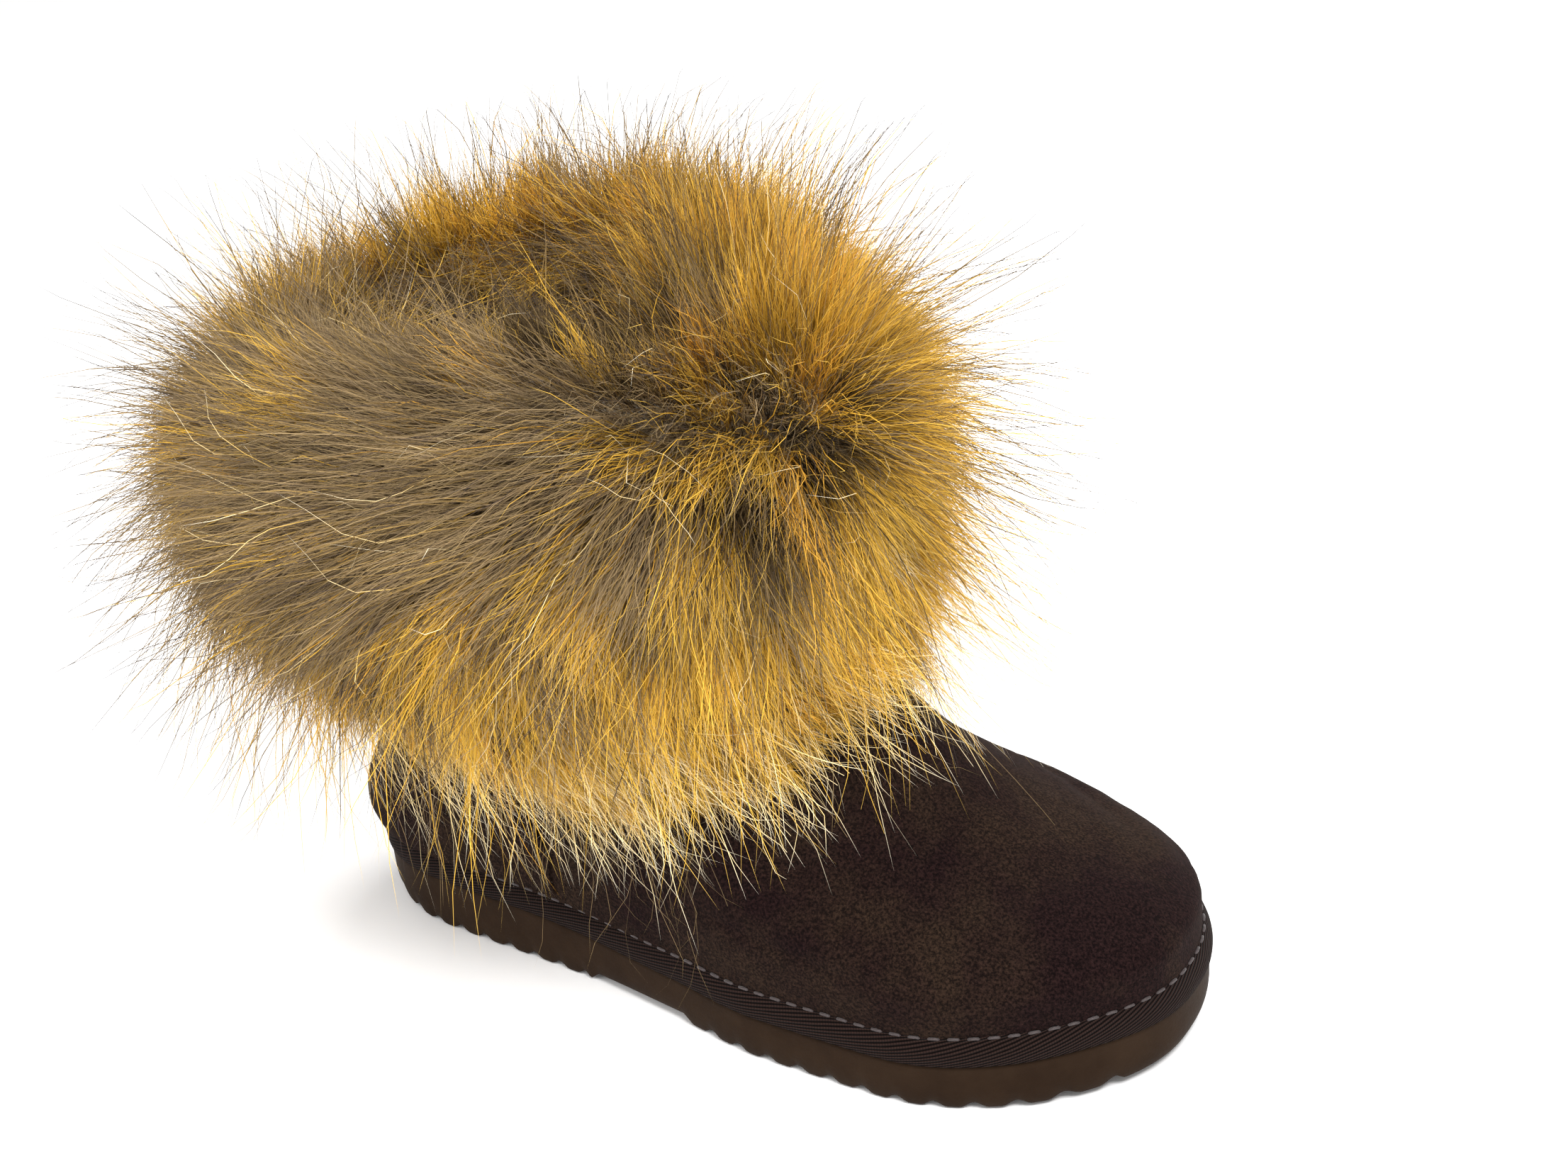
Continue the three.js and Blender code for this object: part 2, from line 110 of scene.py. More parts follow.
# The foot's outline from heel to toe, in shares of half the ball's width
outlineRows = tableOf(("at", "inner", "outer"), [
    (0.0, 0.67, 0.67),
    (0.08, 0.69, 0.69),
    (0.2, 0.71, 0.74),
    (0.35, 0.72, 0.79),
    (0.5, 0.8, 0.9),
    (0.62, 0.93, 1.0),
    (0.75, 1.02, 1.01),
    (0.88, 0.99, 0.92),
    (1.0, 0.88, 0.78),
])

# The sole's top: its heel's step over the ball and the spring of its toe
topRows = tableOf(("at", "step", "spring"), [
    (0.0, 1.0, 0),
    (0.25, 0.9, 0),
    (0.5, 0.17, 0),
    (0.8, 0.0, 0),
    (1.0, 0.0, 0.84),
])

# Loops of the upper from the sole to the collar: its two ends, their heights, width and rounding
upperColumns = ("back", "backUp", "front", "frontUp", "spread", "shaft", "reach", "power")
upperLoops = [
    (0.018, 0.0, 0.982, 0.0, 0.91, 0, 0.24, 2.3),
    (0.004, 0.05, 0.986, 0.055, 0.935, 0, 0.24, 2.3),
    (-0.009, 0.1, 0.986, 0.11, 0.95, 0, 0.25, 2.3),
    (0.004, 0.165, 0.969, 0.145, 0.945, 0, 0.27, 2.25),
    (0.022, 0.23, 0.94, 0.182, 0.92, 0.04, 0.3, 2.2),
    (0.031, 0.3, 0.89, 0.222, 0.885, 0.1, 0.34, 2.1),
    (0.034, 0.37, 0.825, 0.272, 0.86, 0.25, 0.38, 2.05),
    (0.035, 0.45, 0.752, 0.342, 0.84, 0.42, 0.4, 2.0),
    (0.034, 0.53, 0.68, 0.44, 0.83, 0.6, 0.4, 2.0),
    (0.032, 0.63, 0.605, 0.585, 0.83, 0.8, 0.38, 2.0),
    (0.029, 0.75, 0.55, 0.725, 0.84, 0.92, 0.33, 2.0),
    (0.025, 0.87, 0.523, 0.865, 0.86, 1, 0.3, 2.0),
    (0.02, 1.0, 0.51, 1.0, 0.88, 1, 0.28, 2.0),
]
upperRows = tableOf(("place", *upperColumns), [
    (i / (len(upperLoops) - 1), *loop) for i, loop in enumerate(upperLoops)
])


# A column of a table at x, kept smooth and without overshoot between the rows. The first column
# gives the rows' places.
def readRow(rows, column, x):
    key = next(iter(rows[0]))
    places = np.array([row[key] for row in rows], float)
    values = np.array([row[column] for row in rows], float)
    steps = np.diff(values) / np.diff(places)
    slopes = np.zeros(len(rows))
    before, after = steps[:-1], steps[1:]
    same = before * after > 0
    slopes[1:-1][same] = 2 * before[same] * after[same] / (before[same] + after[same])
    x = np.clip(np.asarray(x, float), places[0], places[-1])
    i = np.clip(np.searchsorted(places, x, side="left") - 1, 0, len(rows) - 2)
    span = places[i + 1] - places[i]
    s = (x - places[i]) / span
    return (
        values[i] * (2 * s**3 - 3 * s**2 + 1)
        + slopes[i] * span * (s**3 - 2 * s**2 + s)
        + values[i + 1] * (3 * s**2 - 2 * s**3)
        + slopes[i + 1] * span * (s**3 - s**2)
    )


# The same, but straight between the rows
def readLine(rows, column, x):
    key = next(iter(rows[0]))
    return np.interp(x, [row[key] for row in rows], [row[column] for row in rows])


# Rises from 0 to 1 over a reach, steep at first
def rounding(distance, reach, power):
    q = np.clip(distance / reach, 0, 1)
    return (1 - (1 - q) ** power) ** (1 / power)


def footWidth(t, side):
    inner = readRow(outlineRows, "inner", t)
    outer = readRow(outlineRows, "outer", t)
    return np.where(side > 0, inner, outer) * boot["ballWidth"] / 2


def soleTop(t):
    step = readRow(topRows, "step", t) * (boot["heelThickness"] - boot["ballThickness"])
    spring = readRow(topRows, "spring", t) * boot["toeSpring"]
    return boot["ballThickness"] + step + spring


def alongX(t):
    return t * boot["soleLength"] - boot["heelSeat"]


# The upper's outer surface: v from the sole (0) to the collar (1), turn round the boot from the
# middle of the heel by the inner side
def upperPoint(v, turn):
    v, turn = np.broadcast_arrays(np.asarray(v, float), np.asarray(turn, float))
    row = {name: readRow(upperRows, name, v) for name in upperColumns}
    side = np.where(np.sin(turn) >= 0, 1.0, -1.0)
    share = (1 - np.cos(turn)) / 2
    t = row["back"] + (row["front"] - row["back"]) * share
    up = row["backUp"] + (row["frontUp"] - row["backUp"]) * share
    foot = footWidth(t, side) * row["spread"]
    foot = foot * rounding(t - row["back"], 0.15, 2.1)
    foot = foot * rounding(row["front"] - t, row["reach"], row["power"])
    shaft = boot["shaftWidth"] / 2 * np.abs(np.sin(turn))
    y = side * (foot * (1 - row["shaft"]) + shaft * row["shaft"])
    z = soleTop(t) + boot["seatGap"] + boot["collarHeight"] * up
    return np.stack([alongX(t), y, z], -1)


# Vectors at length 1
def unit(vectors):
    return vectors / np.maximum(np.linalg.norm(vectors, axis=-1, keepdims=True), 1e-12)


def upperNormal(v, turn):
    step = 0.004
    upward = upperPoint(np.clip(v + step, 0, 1), turn) - upperPoint(np.clip(v - step, 0, 1), turn)
    around = upperPoint(v, turn + step) - upperPoint(v, turn - step)
    return unit(np.cross(upward, around))


def offUpper(v, turn, distance):
    return upperPoint(v, turn) + upperNormal(v, turn) * np.asarray(distance)[..., None]


# The v at which the upper reaches a height
def levelAt(height, turn):
    low = np.zeros_like(height)
    high = np.ones_like(height)
    for _ in range(18):
        middle = (low + high) / 2
        under = upperPoint(middle, turn)[..., 2] < height
        low = np.where(under, middle, low)
        high = np.where(under, high, middle)
    return (low + high) / 2


# Half the sole's width, moved in from its outline
def soleHalf(t, side, inset):
    end = inset / boot["soleLength"]
    kept = np.maximum(0, 1 - 2 * inset / boot["ballWidth"])
    return kept * footWidth(t, side) * rounding(t - end, 0.15, 2.1) * rounding(1 - end - t, 0.24, 2.3)


def soleEdge(turn, inset):
    side = np.where(np.sin(turn) >= 0, 1.0, -1.0)
    end = inset / boot["soleLength"]
    t = end + (1 - 2 * end) * (1 - np.cos(turn)) / 2
    return np.stack([alongX(t), side * soleHalf(t, side, inset), soleTop(t)], -1)


# Smooth random waves: a sum of a few sines over 3-D places, about -1 to 1
def waves(places, size, seed, count=9):
    rng = np.random.default_rng(seed)
    total = np.zeros(places.shape[:-1])
    for _ in range(count):
        heading = unit(rng.normal(size=3)) * rng.uniform(0.6, 1.5)
        total += np.sin(places @ heading * (fullTurn / size) + rng.uniform(0, fullTurn))
    return total / np.sqrt(count / 2) / 1.6


# Materials
def newMaterial(name, color, roughness, **sockets):
    material = bpy.data.materials.new(name)
    material.use_nodes = True
    shader = material.node_tree.nodes["Principled BSDF"]
    shader.inputs["Base Color"].default_value = (*color, 1)
    shader.inputs["Roughness"].default_value = roughness
    for socket, value in sockets.items():
        shader.inputs[socket.replace("_", " ")].default_value = value
    return material, material.node_tree, shader


def addNode(tree, kind, inputs=None, **settings):
    node = tree.nodes.new(kind)
    for name, value in settings.items():
        setattr(node, name, value)
    for name, value in (inputs or {}).items():
        if isinstance(value, bpy.types.NodeSocket):
            tree.links.new(value, node.inputs[name])
        else:
            node.inputs[name].default_value = value
    return node


def addRamp(tree, factor, stops, interpolation="LINEAR"):
    ramp = addNode(tree, "ShaderNodeValToRGB", {"Fac": factor})
    ramp.color_ramp.interpolation = interpolation
    elements = ramp.color_ramp.elements
    while len(elements) < len(stops):
        elements.new(0.5)
    for element, (place, color) in zip(elements, stops):
        element.position = place
        element.color = (*color, 1)
    return ramp.outputs["Color"]


def addMix(tree, factor, a, b, blend="MIX"):
    inputs = {0: factor, 6: a, 7: b}
    return addNode(tree, "ShaderNodeMix", inputs, data_type="RGBA", blend_type=blend).outputs[2]


def addNoise(tree, coordinates, scale, detail=3.0, roughness=0.5):
    inputs = {"Vector": coordinates, "Scale": scale, "Detail": detail, "Roughness": roughness}
    return addNode(tree, "ShaderNodeTexNoise", inputs).outputs["Fac"]


# Links a colour to the shader, and bumps of a height, a strength and a distance
def paint(tree, shader, color, *bumps):
    tree.links.new(color, shader.inputs["Base Color"])
    normal = None
    for height, strength, distance in bumps:
        inputs = {"Height": height, "Strength": strength, "Distance": distance}
        if normal is not None:
            inputs["Normal"] = normal
        normal = addNode(tree, "ShaderNodeBump", inputs).outputs["Normal"]
        tree.links.new(normal, shader.inputs["Normal"])


def objectPlace(tree):
    return addNode(tree, "ShaderNodeTexCoord").outputs["Object"]


def suedeMaterial():
    settings = {"Sheen_Weight": 0.04, "Sheen_Roughness": 0.5, "Specular_IOR_Level": 0.03}
    material, tree, shader = newMaterial("suede", (0.03, 0.02, 0.018), 0.95, **settings)
    shader.inputs["Sheen Tint"].default_value = (0.55, 0.42, 0.38, 1)
    place = objectPlace(tree)
    patches = addNoise(tree, place, 26, 4, 0.6)
    nap = addNoise(tree, place, 1300, 3, 0.7)
    grit = addNoise(tree, place, 2600, 2, 0.6)
    dark = addRamp(tree, patches, [(0.4, (0.0102, 0.0052, 0.0054)), (0.62, (0.0188, 0.0118, 0.0083))])
    light = addRamp(tree, nap, [(0.4, (0.35, 0.35, 0.37)), (0.7, (2.0, 1.85, 1.7))])
    color = addMix(tree, 1.0, dark, light, "MULTIPLY")
    paint(tree, shader, color, (nap, 0.5, 0.0006), (grit, 0.35, 0.0003))
    return material


def tapeMaterial():
    settings = {"Sheen_Weight": 0.02, "Specular_IOR_Level": 0.03}
    material, tree, shader = newMaterial("ribbed_tape", (0.03, 0.02, 0.017), 0.8, **settings)
    uv = addNode(tree, "ShaderNodeUVMap", uv_map="tape").outputs["UV"]
    turned = addNode(tree, "ShaderNodeMapping", {"Vector": uv, "Rotation": (0, 0, 0.4)})
    wave = addNode(
        tree,
        "ShaderNodeTexWave",
        {"Vector": turned.outputs["Vector"], "Scale": 215.0, "Distortion": 0.5, "Detail": 1.0},
        wave_type="BANDS",
        bands_direction="Y",
    ).outputs["Fac"]
    cross = addNode(
        tree, "ShaderNodeTexWave", {"Vector": uv, "Scale": 420.0}, bands_direction="X"
    ).outputs["Fac"]
    # the rib bands' colour is partly the tape's ribs and partly painted shade: the grooves between ribs,
    # where the bump is low, are painted about ten times darker
    ribsAndGrooveShade = addRamp(tree, wave, [(0.15, (0.0025, 0.0012, 0.001)), (0.8, (0.027, 0.0152, 0.0125))])
    threads = addRamp(tree, cross, [(0.2, (0.75, 0.75, 0.75)), (0.8, (1.15, 1.15, 1.15))])
    color = addMix(tree, 1.0, ribsAndGrooveShade, threads, "MULTIPLY")
    paint(tree, shader, color, (wave, 0.9, 0.0005), (cross, 0.3, 0.0002))
    return material


def foamMaterial():
    color = (0.02, 0.0125, 0.0085)
    material, tree, shader = newMaterial("foam_sole", color, 0.62, Specular_IOR_Level=0.04)
    place = objectPlace(tree)
    mottle = addNoise(tree, place, 60, 5, 0.6)
    grain = addNoise(tree, place, 1400, 3, 0.6)
    color = addRamp(tree, mottle, [(0.3, (0.017, 0.0088, 0.0045)), (0.7, (0.026, 0.0145, 0.0078))])
    rough = addNode(tree, "ShaderNodeMapRange", {"Value": grain, "To Min": 0.5, "To Max": 0.75})
    tree.links.new(rough.outputs["Result"], shader.inputs["Roughness"])
    paint(tree, shader, color, (mottle, 0.12, 0.001), (grain, 0.22, 0.0003))
    return material


def threadMaterial():
    material, tree, shader = newMaterial("thread", (0.1, 0.07, 0.06), 0.6, Sheen_Weight=0.1)
    strands = addNoise(tree, objectPlace(tree), 3000, 2, 0.6)
    color = addRamp(tree, strands, [(0.3, (0.02, 0.013, 0.0125)), (0.7, (0.056, 0.039, 0.038))])
    paint(tree, shader, color, (strands, 0.4, 0.0003))
    return material


# A matt pile of tufts, for the lining and the pelt
def pileMaterial(name, sheen, size, detail, dark, light, depth):
    material, tree, shader = newMaterial(name, light, 1.0, Sheen_Weight=sheen)
    tufts = addNoise(tree, objectPlace(tree), size, detail, 0.7)
    color = addRamp(tree, tufts, [(0.3, dark), (0.7, light)])
    paint(tree, shader, color, (tufts, 0.9, depth))
    return material


# Hair colours along one hair, from root to tip, for each kind of hair
hairPlaces = (0.0, 0.4, 0.78, 1.0)
hairKinds = {
    "smoke": [(0.085, 0.058, 0.034), (0.175, 0.12, 0.064), (0.265, 0.185, 0.092), (0.4, 0.29, 0.13)],
    "gold": [(0.21, 0.125, 0.025), (0.5, 0.28, 0.03), (0.68, 0.405, 0.055), (0.8, 0.56, 0.16)],
    "rust": [(0.2, 0.1, 0.02), (0.52, 0.26, 0.03), (0.7, 0.37, 0.05), (0.52, 0.28, 0.06)],
    "cream": [(0.24, 0.16, 0.05), (0.6, 0.38, 0.09), (0.9, 0.74, 0.42), (0.98, 0.93, 0.8)],
    "black": [(0.12, 0.08, 0.04), (0.28, 0.18, 0.06), (0.05, 0.036, 0.03), (0.012, 0.01, 0.012)],
    # the last kind's very dark hairs are painted shade: they stand for shade in the crease before the tuft,
    # the whorl and the hollow of the opening, and a few lie everywhere as painted depth
    "umber": [(0.012, 0.008, 0.005), (0.035, 0.022, 0.01), (0.08, 0.052, 0.022), (0.16, 0.1, 0.04)],
}


def hairMaterial():
    color = (0.4, 0.28, 0.12)
    material, tree, shader = newMaterial("fox_fur", color, 0.7, Specular_IOR_Level=0.1)
    uv = addNode(tree, "ShaderNodeUVMap", uv_map="OFBake").outputs["UV"]
    parts = addNode(tree, "ShaderNodeSeparateXYZ", {"Vector": uv})
    count = float(len(hairKinds))
    kind = addNode(tree, "ShaderNodeMath", {0: parts.outputs["X"], 1: count}, operation="MULTIPLY")
    shade = addNode(tree, "ShaderNodeMath", {0: kind.outputs[0]}, operation="FRACT")
    color = None
    for i, colors in enumerate(hairKinds.values()):
        ramp = addRamp(tree, parts.outputs["Y"], list(zip(hairPlaces, colors)))
        if color is None:
            color = ramp
            continue
        past = addNode(tree, "ShaderNodeMath", {0: kind.outputs[0], 1: float(i)}, operation="GREATER_THAN")
        color = addMix(tree, past.outputs[0], color, ramp)
    light = addRamp(tree, shade.outputs[0], [(0.1, (0.42, 0.41, 0.4)), (0.9, (1.5, 1.5, 1.5))])
    paint(tree, shader, addMix(tree, 1.0, color, light, "MULTIPLY"))
    return material


suede = suedeMaterial()
tape = tapeMaterial()
foam = foamMaterial()
thread = threadMaterial()
fleece = pileMaterial("fleece", 0.5, 260, 4, (0.045, 0.033, 0.02), (0.2, 0.15, 0.09), 0.003)
hair = hairMaterial()
pelt = pileMaterial("under_fur", 0.3, 130, 5, (0.08, 0.056, 0.032), (0.26, 0.17, 0.07), 0.004)
print("materials made")


# A grid bent into shape: place takes arrays u and v, each 0 to 1, and gives points in metres.
# The UV map keeps u and v times their real lengths.
def bentGrid(name, columns, rows, place, uvName="surface", lengths=(1.0, 1.0)):
    bm = bmesh.new()
    bmesh.ops.create_grid(bm, x_segments=columns, y_segments=rows, size=1.0)
    bm.verts.ensure_lookup_table()
    flat = np.array([vert.co[:2] for vert in bm.verts])
    u, v = (flat[:, 0] + 1) / 2, (flat[:, 1] + 1) / 2
    layer = bm.loops.layers.uv.new(uvName)
    for face in bm.faces:
        face.smooth = True
        for loop in face.loops:
            i = loop.vert.index
            loop[layer].uv = (u[i] * lengths[0], v[i] * lengths[1])
    for vert, point in zip(bm.verts, place(u, v)):
        vert.co = point
    bmesh.ops.remove_doubles(bm, verts=bm.verts, dist=1e-6)
    bmesh.ops.dissolve_degenerate(bm, edges=bm.edges, dist=1e-7)
    mesh = bpy.data.meshes.new(name)
    bm.to_mesh(mesh)
    bm.free()
    return mesh


# Turns a closed mesh's faces outwards
def facesOut(mesh):
    bm = bmesh.new()
    bm.from_mesh(mesh)
    bmesh.ops.recalc_face_normals(bm, faces=bm.faces)
    if bm.calc_volume(signed=True) < 0:
        bmesh.ops.reverse_faces(bm, faces=bm.faces)
    bm.to_mesh(mesh)
    bm.free()


def addPiece(name, mesh, material, replaced=()):
    mesh.materials.append(material)
    piece = addObject(name, mesh)
    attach(piece, "root")
    if replaced:
        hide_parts(*replaced)
    return piece


def addShell(piece, thickness, offset):
    wall = piece.modifiers.new("wall", "SOLIDIFY")
    wall.thickness = thickness
    wall.offset = offset
    wall.use_even_offset = False


# Upper: suede with soft creases where the vamp bends and over the instep
# Place of each one's middle, how far it reaches each way, its slant and its depth
creases = tableOf(("turn", "v", "long", "wide", "slant", "deep"), [
    (3.9, 0.36, 0.5, 0.03, 0.1, 0.9 * mm),
    (2.5, 0.38, 0.45, 0.03, -0.08, 0.8 * mm),
    (4.35, 0.27, 0.28, 0.022, 0.14, 0.7 * mm),
    (1.9, 0.29, 0.26, 0.022, -0.14, 0.7 * mm),
    (3.3, 0.44, 0.4, 0.03, 0.02, 0.8 * mm),
])
upperSettings = {
    "columns": 190,
    "rows": 78,
    "wall": 2.2 * mm,
    "swell": 0.35 * mm,
    "swellSize": 38 * mm,
    "ripple": 0.12 * mm,
    "rippleSize": 9 * mm,
}
liningSettings = {"inside": 2.5 * mm, "wall": 1.5 * mm, "pile": 0.6 * mm, "pileSize": 7 * mm}


def suedeRelief(v, turn):
    places = upperPoint(v, turn)
    relief = upperSettings["swell"] * waves(places, upperSettings["swellSize"], 4)
    relief = relief + upperSettings["ripple"] * waves(places, upperSettings["rippleSize"], 5)
    for crease in creases:
        along = (turn - crease["turn"]) / crease["long"]
        across = (v - crease["v"] - crease["slant"] * along * crease["long"]) / crease["wide"]
        relief = relief - crease["deep"] * np.exp(-(along**2) - across**2)
    return relief * np.clip((v - 0.05) / 0.06, 0, 1)


def addUpper(settings):
    def place(u, v):
        turn = u * fullTurn
        return offUpper(v, turn, suedeRelief(v, turn))

    mesh = bentGrid("upper", settings["columns"], settings["rows"], place)
    piece = addPiece("upper", mesh, suede, ["upper"])
    addShell(piece, settings["wall"], -1)


def addLining(settings):
    def place(u, v):
        turn = u * fullTurn
        points = offUpper(0.02 + 0.96 * v, turn, np.full_like(u, -settings["inside"]))
        pile = settings["pile"] * waves(points, settings["pileSize"], 8)
        return points + upperNormal(v, turn) * pile[..., None]

    mesh = bentGrid("lining", 96, 40, place)
    addShell(addPiece("lining", mesh, fleece), settings["wall"], -1)


addUpper(upperSettings)
addLining(liningSettings)
print("upper and lining made")

# Heel counter
counter = {
    "halfTurn": 1.262,
    "low": 27.8 * mm,
    "top": 59.5 * mm,
    "wall": 1.4 * mm,
    "stitchInset": 2.8 * mm,
    "grooveWidth": 0.55 * mm,
    "frontReach": 46 * mm,
    "puff": 0.35 * mm,
    "puffReach": 3 * mm,
    "lift": 0.45 * mm,
    "columns": 110,
    "rows": 40,
}
# Top edge of the heel counter
counterOutline = tableOf(("x", "z"), [
    (-10 * mm, 59.5 * mm),
    (0, 59.5 * mm),
    (18 * mm, 58 * mm),
    (33 * mm, 55 * mm),
    (42 * mm, 50.5 * mm),
    (47 * mm, 44 * mm),
    (49.5 * mm, 36 * mm),
    (50.4 * mm, 26.2 * mm),
])


def counterTopAt(turn):
    height = np.full_like(turn, counter["top"] - 8 * mm)
    for _ in range(12):
        x = upperPoint(levelAt(height, turn), turn)[..., 0]
        height = 0.5 * height + 0.5 * readRow(counterOutline, "z", x)
    return height


def counterPoint(u, v, lift):
    turn = (u * 2 - 1) * counter["halfTurn"]
    top = counterTopAt(turn)
    height = counter["low"] + (top - counter["low"]) * v
    level = levelAt(height, turn)
    fromEdge = np.minimum(top - height, (1 - np.abs(u * 2 - 1)) * counter["frontReach"])
    pastStitches = fromEdge - counter["stitchInset"]
    groove = np.exp(-((pastStitches / counter["grooveWidth"]) ** 2))
    puff = counter["puff"] * np.clip(pastStitches / counter["puffReach"], 0, 1)
    return offUpper(level, turn, suedeRelief(level, turn) + lift + puff - counter["puff"] * groove)


def addCounter():
    mesh = bentGrid(
        "heel_counter",
        counter["columns"],
        counter["rows"],
        lambda u, v: counterPoint(u, v, counter["lift"] + counter["wall"]),
    )
    piece = addPiece("heel_counter", mesh, suede, ["heel_counter"])
    addShell(piece, counter["wall"], -1)
    soften = piece.modifiers.new("soften", "BEVEL")
    soften.width = 0.35 * mm
    soften.segments = 2
    soften.limit_method = "ANGLE"


addCounter()
print("heel counter made")

# Binding tape: a soft wedge between the sole's edge and the upper
binding = {"height": 8 * mm, "roll": 0.8 * mm, "foot": 0.25 * mm, "level": 0.095, "columns": 520, "rows": 26}
# Its section: out to the sole's edge and up, from its foot over its top and down its back
bindingSection = tableOf(("at", "out", "up"), [
    (0.0, 1.0, 0.0),
    (0.1, 1.03, 0.14),
    (0.2, 1.04, 0.32),
    (0.3, 1.0, 0.5),
    (0.4, 0.88, 0.69),
    (0.48, 0.71, 0.82),
    (0.54, 0.57, 0.875),
    (0.59, 0.47, 0.89),
    (0.64, 0.37, 0.95),
    (0.69, 0.26, 1.0),
    (0.76, 0.08, 1.0),
    (0.84, 0.0, 0.9),
    (0.92, 0.0, 0.4),
    (0.96, 0.0, 0.0),
    (1.0, 1.0, 0.0),
])
stitchAt = 0.575  # place of the stitches on that section
bindingLengths = (0.66, 0.025)  # round the boot and over the section, in metres, for the weave


def bindingPoint(turn, at):
    out = readLine(bindingSection, "out", at)
    up = readLine(bindingSection, "up", at)
    edge = soleEdge(turn, -binding["roll"])
    wall = offUpper(binding["level"] * up, turn, np.full_like(turn, boot["seatGap"]))
    point = wall + (edge - wall) * out[..., None]
    point[..., 2] = edge[..., 2] + binding["foot"] + binding["height"] * up
    return point


def addBinding():
    mesh = bentGrid(
        "binding_tape",
        binding["columns"],
        binding["rows"],
        lambda u, v: bindingPoint(u * fullTurn, v),
        "tape",
        bindingLengths,
    )
    facesOut(mesh)
    addPiece("binding_tape", mesh, tape, ["binding_tape"])


addBinding()
print("binding tape made")

# Outsole: cross bars under the heel and the forefoot, a plain arch, a soft moulded edge
sole = {
    "taper": 1.4 * mm,
    "archLift": 2.6 * mm,
    "treadDepth": 1.7 * mm,
    "lugPitch": 10 * mm,
    "lugFlat": 3.0 * mm,
    "heelBevel": 2.4 * mm,
    "columns": 900,
}
# Shares of the sole's length
heelBevelEnd = 0.06
archStart = 0.37
archEnd = 0.52
springStart = 0.78
treadZones = [(0.012, archStart), (archEnd, 0.965)]

# Rows of the sole's skin: share of its half width, share of the taper that it lies in, share of its
# thickness down from the top
soleSkin = [(0.0, 0, 0), (0.5, 0, 0), (0.93, 0, 0), (0.985, 0, 0.01), (1.0, 0, 0.04)]
soleSkin += [(1.0, 0.0, down) for down in (0.12, 0.25, 0.4, 0.55)]
soleSkin += [(1.0, inset, down) for inset, down in ((0.15, 0.7), (0.35, 0.8), (0.6, 0.88), (0.85, 0.94))]
soleSkin += [(1.0, 1.1, 0.98), (0.985, 1.2, 1.0), (0.95, 1.2, 1.0)]
soleSkin += [(across, 1.2, 1.0) for across in (0.85, 0.7, 0.5, 0.3, 0.15, 0.0)]


# Is 1 from start to end, with a slope at both ends
def between(t, start, end, slope):
    return np.clip((t - start) / slope, 0, 1) * np.clip((end - t) / slope, 0, 1)


def soleBottom(t):
    x = alongX(t)
    spring = boot["toeSpring"] * np.maximum(0, (t - springStart) / (1 - springStart)) ** 2
    bevel = sole["heelBevel"] * np.maximum(0, 1 - t / heelBevelEnd) ** 2
    fromBar = np.abs(x - np.round(x / sole["lugPitch"]) * sole["lugPitch"])
    into = np.maximum(0, fromBar - sole["lugFlat"] / 2) / ((sole["lugPitch"] - sole["lugFlat"]) / 2)
    groove = sole["treadDepth"] * (1 - np.cos(np.pi * into)) / 2
    inTread = np.zeros_like(t)
    for start, end in treadZones:
        inTread = np.maximum(inTread, between(t, start, end, 0.006))
    arch = between(t, archStart, archEnd, 0.012)
    return spring + bevel + inTread * groove + arch * sole["archLift"]


def addOutsole():
    table = np.array(soleSkin)

    def place(u, v):
        turn = u * fullTurn
        row = v * (len(table) - 1)
        across, inset, down = (np.interp(row, np.arange(len(table)), table[:, i]) for i in range(3))
        side = np.where(np.sin(turn) >= 0, 1.0, -1.0)
        end = inset * sole["taper"] / boot["soleLength"]
        t = end + (1 - 2 * end) * (1 - np.cos(turn)) / 2
        y = side * across * soleHalf(t, side, inset * sole["taper"])
        z = soleTop(t) + (soleBottom(t) - soleTop(t)) * down
        return np.stack([alongX(t), y, z], -1)

    mesh = bentGrid("outsole", sole["columns"], len(table) - 1, place)
    facesOut(mesh)
    addPiece("outsole", mesh, foam, ["outsole"])


# The insole's section from the middle of its underside round its edge to the middle of its pile
insoleSection = tableOf(("at", "across", "up"), [
    (0, 0, 0.3 * mm),
    (0.2, 0.97, 0.3 * mm),
    (0.3, 1, 0.8 * mm),
    (0.7, 1, 5.4 * mm),
    (0.8, 0.97, 6.1 * mm),
    (1, 0, 6.3 * mm),
])


def addInsole():
    def place(u, v):
        turn = u * fullTurn
        edge = offUpper(np.zeros_like(u), turn, np.full_like(u, -boot["upperWall"] - boot["seatGap"]))
        t = (edge[..., 0] + boot["heelSeat"]) / boot["soleLength"]
        across = readLine(insoleSection, "across", v)
        up = readLine(insoleSection, "up", v)
        flat = np.stack([edge[..., 0], across * edge[..., 1], 0 * u], -1)
        pile = 0.5 * mm * waves(flat, 9 * mm, 12)
        z = soleTop(t) + up + np.where(v > 0.75, pile, 0)
        return np.stack([edge[..., 0], edge[..., 1] * across, z], -1)

    mesh = bentGrid("insole", 120, 24, place)
    facesOut(mesh)
    addPiece("insole", mesh, fleece, ["insole"])


addOutsole()
addInsole()
print("sole and insole made")


# Stitches: each is a short thread along a path, dipping into the surface at both ends
stitchSettings = {"pitch": 5.2 * mm, "long": 3.4 * mm, "radius": 0.42 * mm, "dip": 0.6 * mm, "sides": 6}

# Along one stitch: how far it stands out of the surface, and its thickness
stitchRows = tableOf(("at", "lift", "thick"), [
    (0.0, -1.0, 0.7),
    (0.14, 0.3, 0.95),
    (0.5, 0.55, 1.0),
    (0.86, 0.3, 0.95),
    (1.0, -1.0, 0.7),
])


# Faces of a closed tube made of rings
def tubeFaces(rings, sides):
    last = (rings - 1) * sides
    faces = [tuple(range(sides))[::-1], tuple(range(last, last + sides))]
    for low in range(0, last, sides):
        for i in range(sides):
            j = (i + 1) % sides
            faces.append((low + i, low + j, low + sides + j, low + sides + i))
    return faces


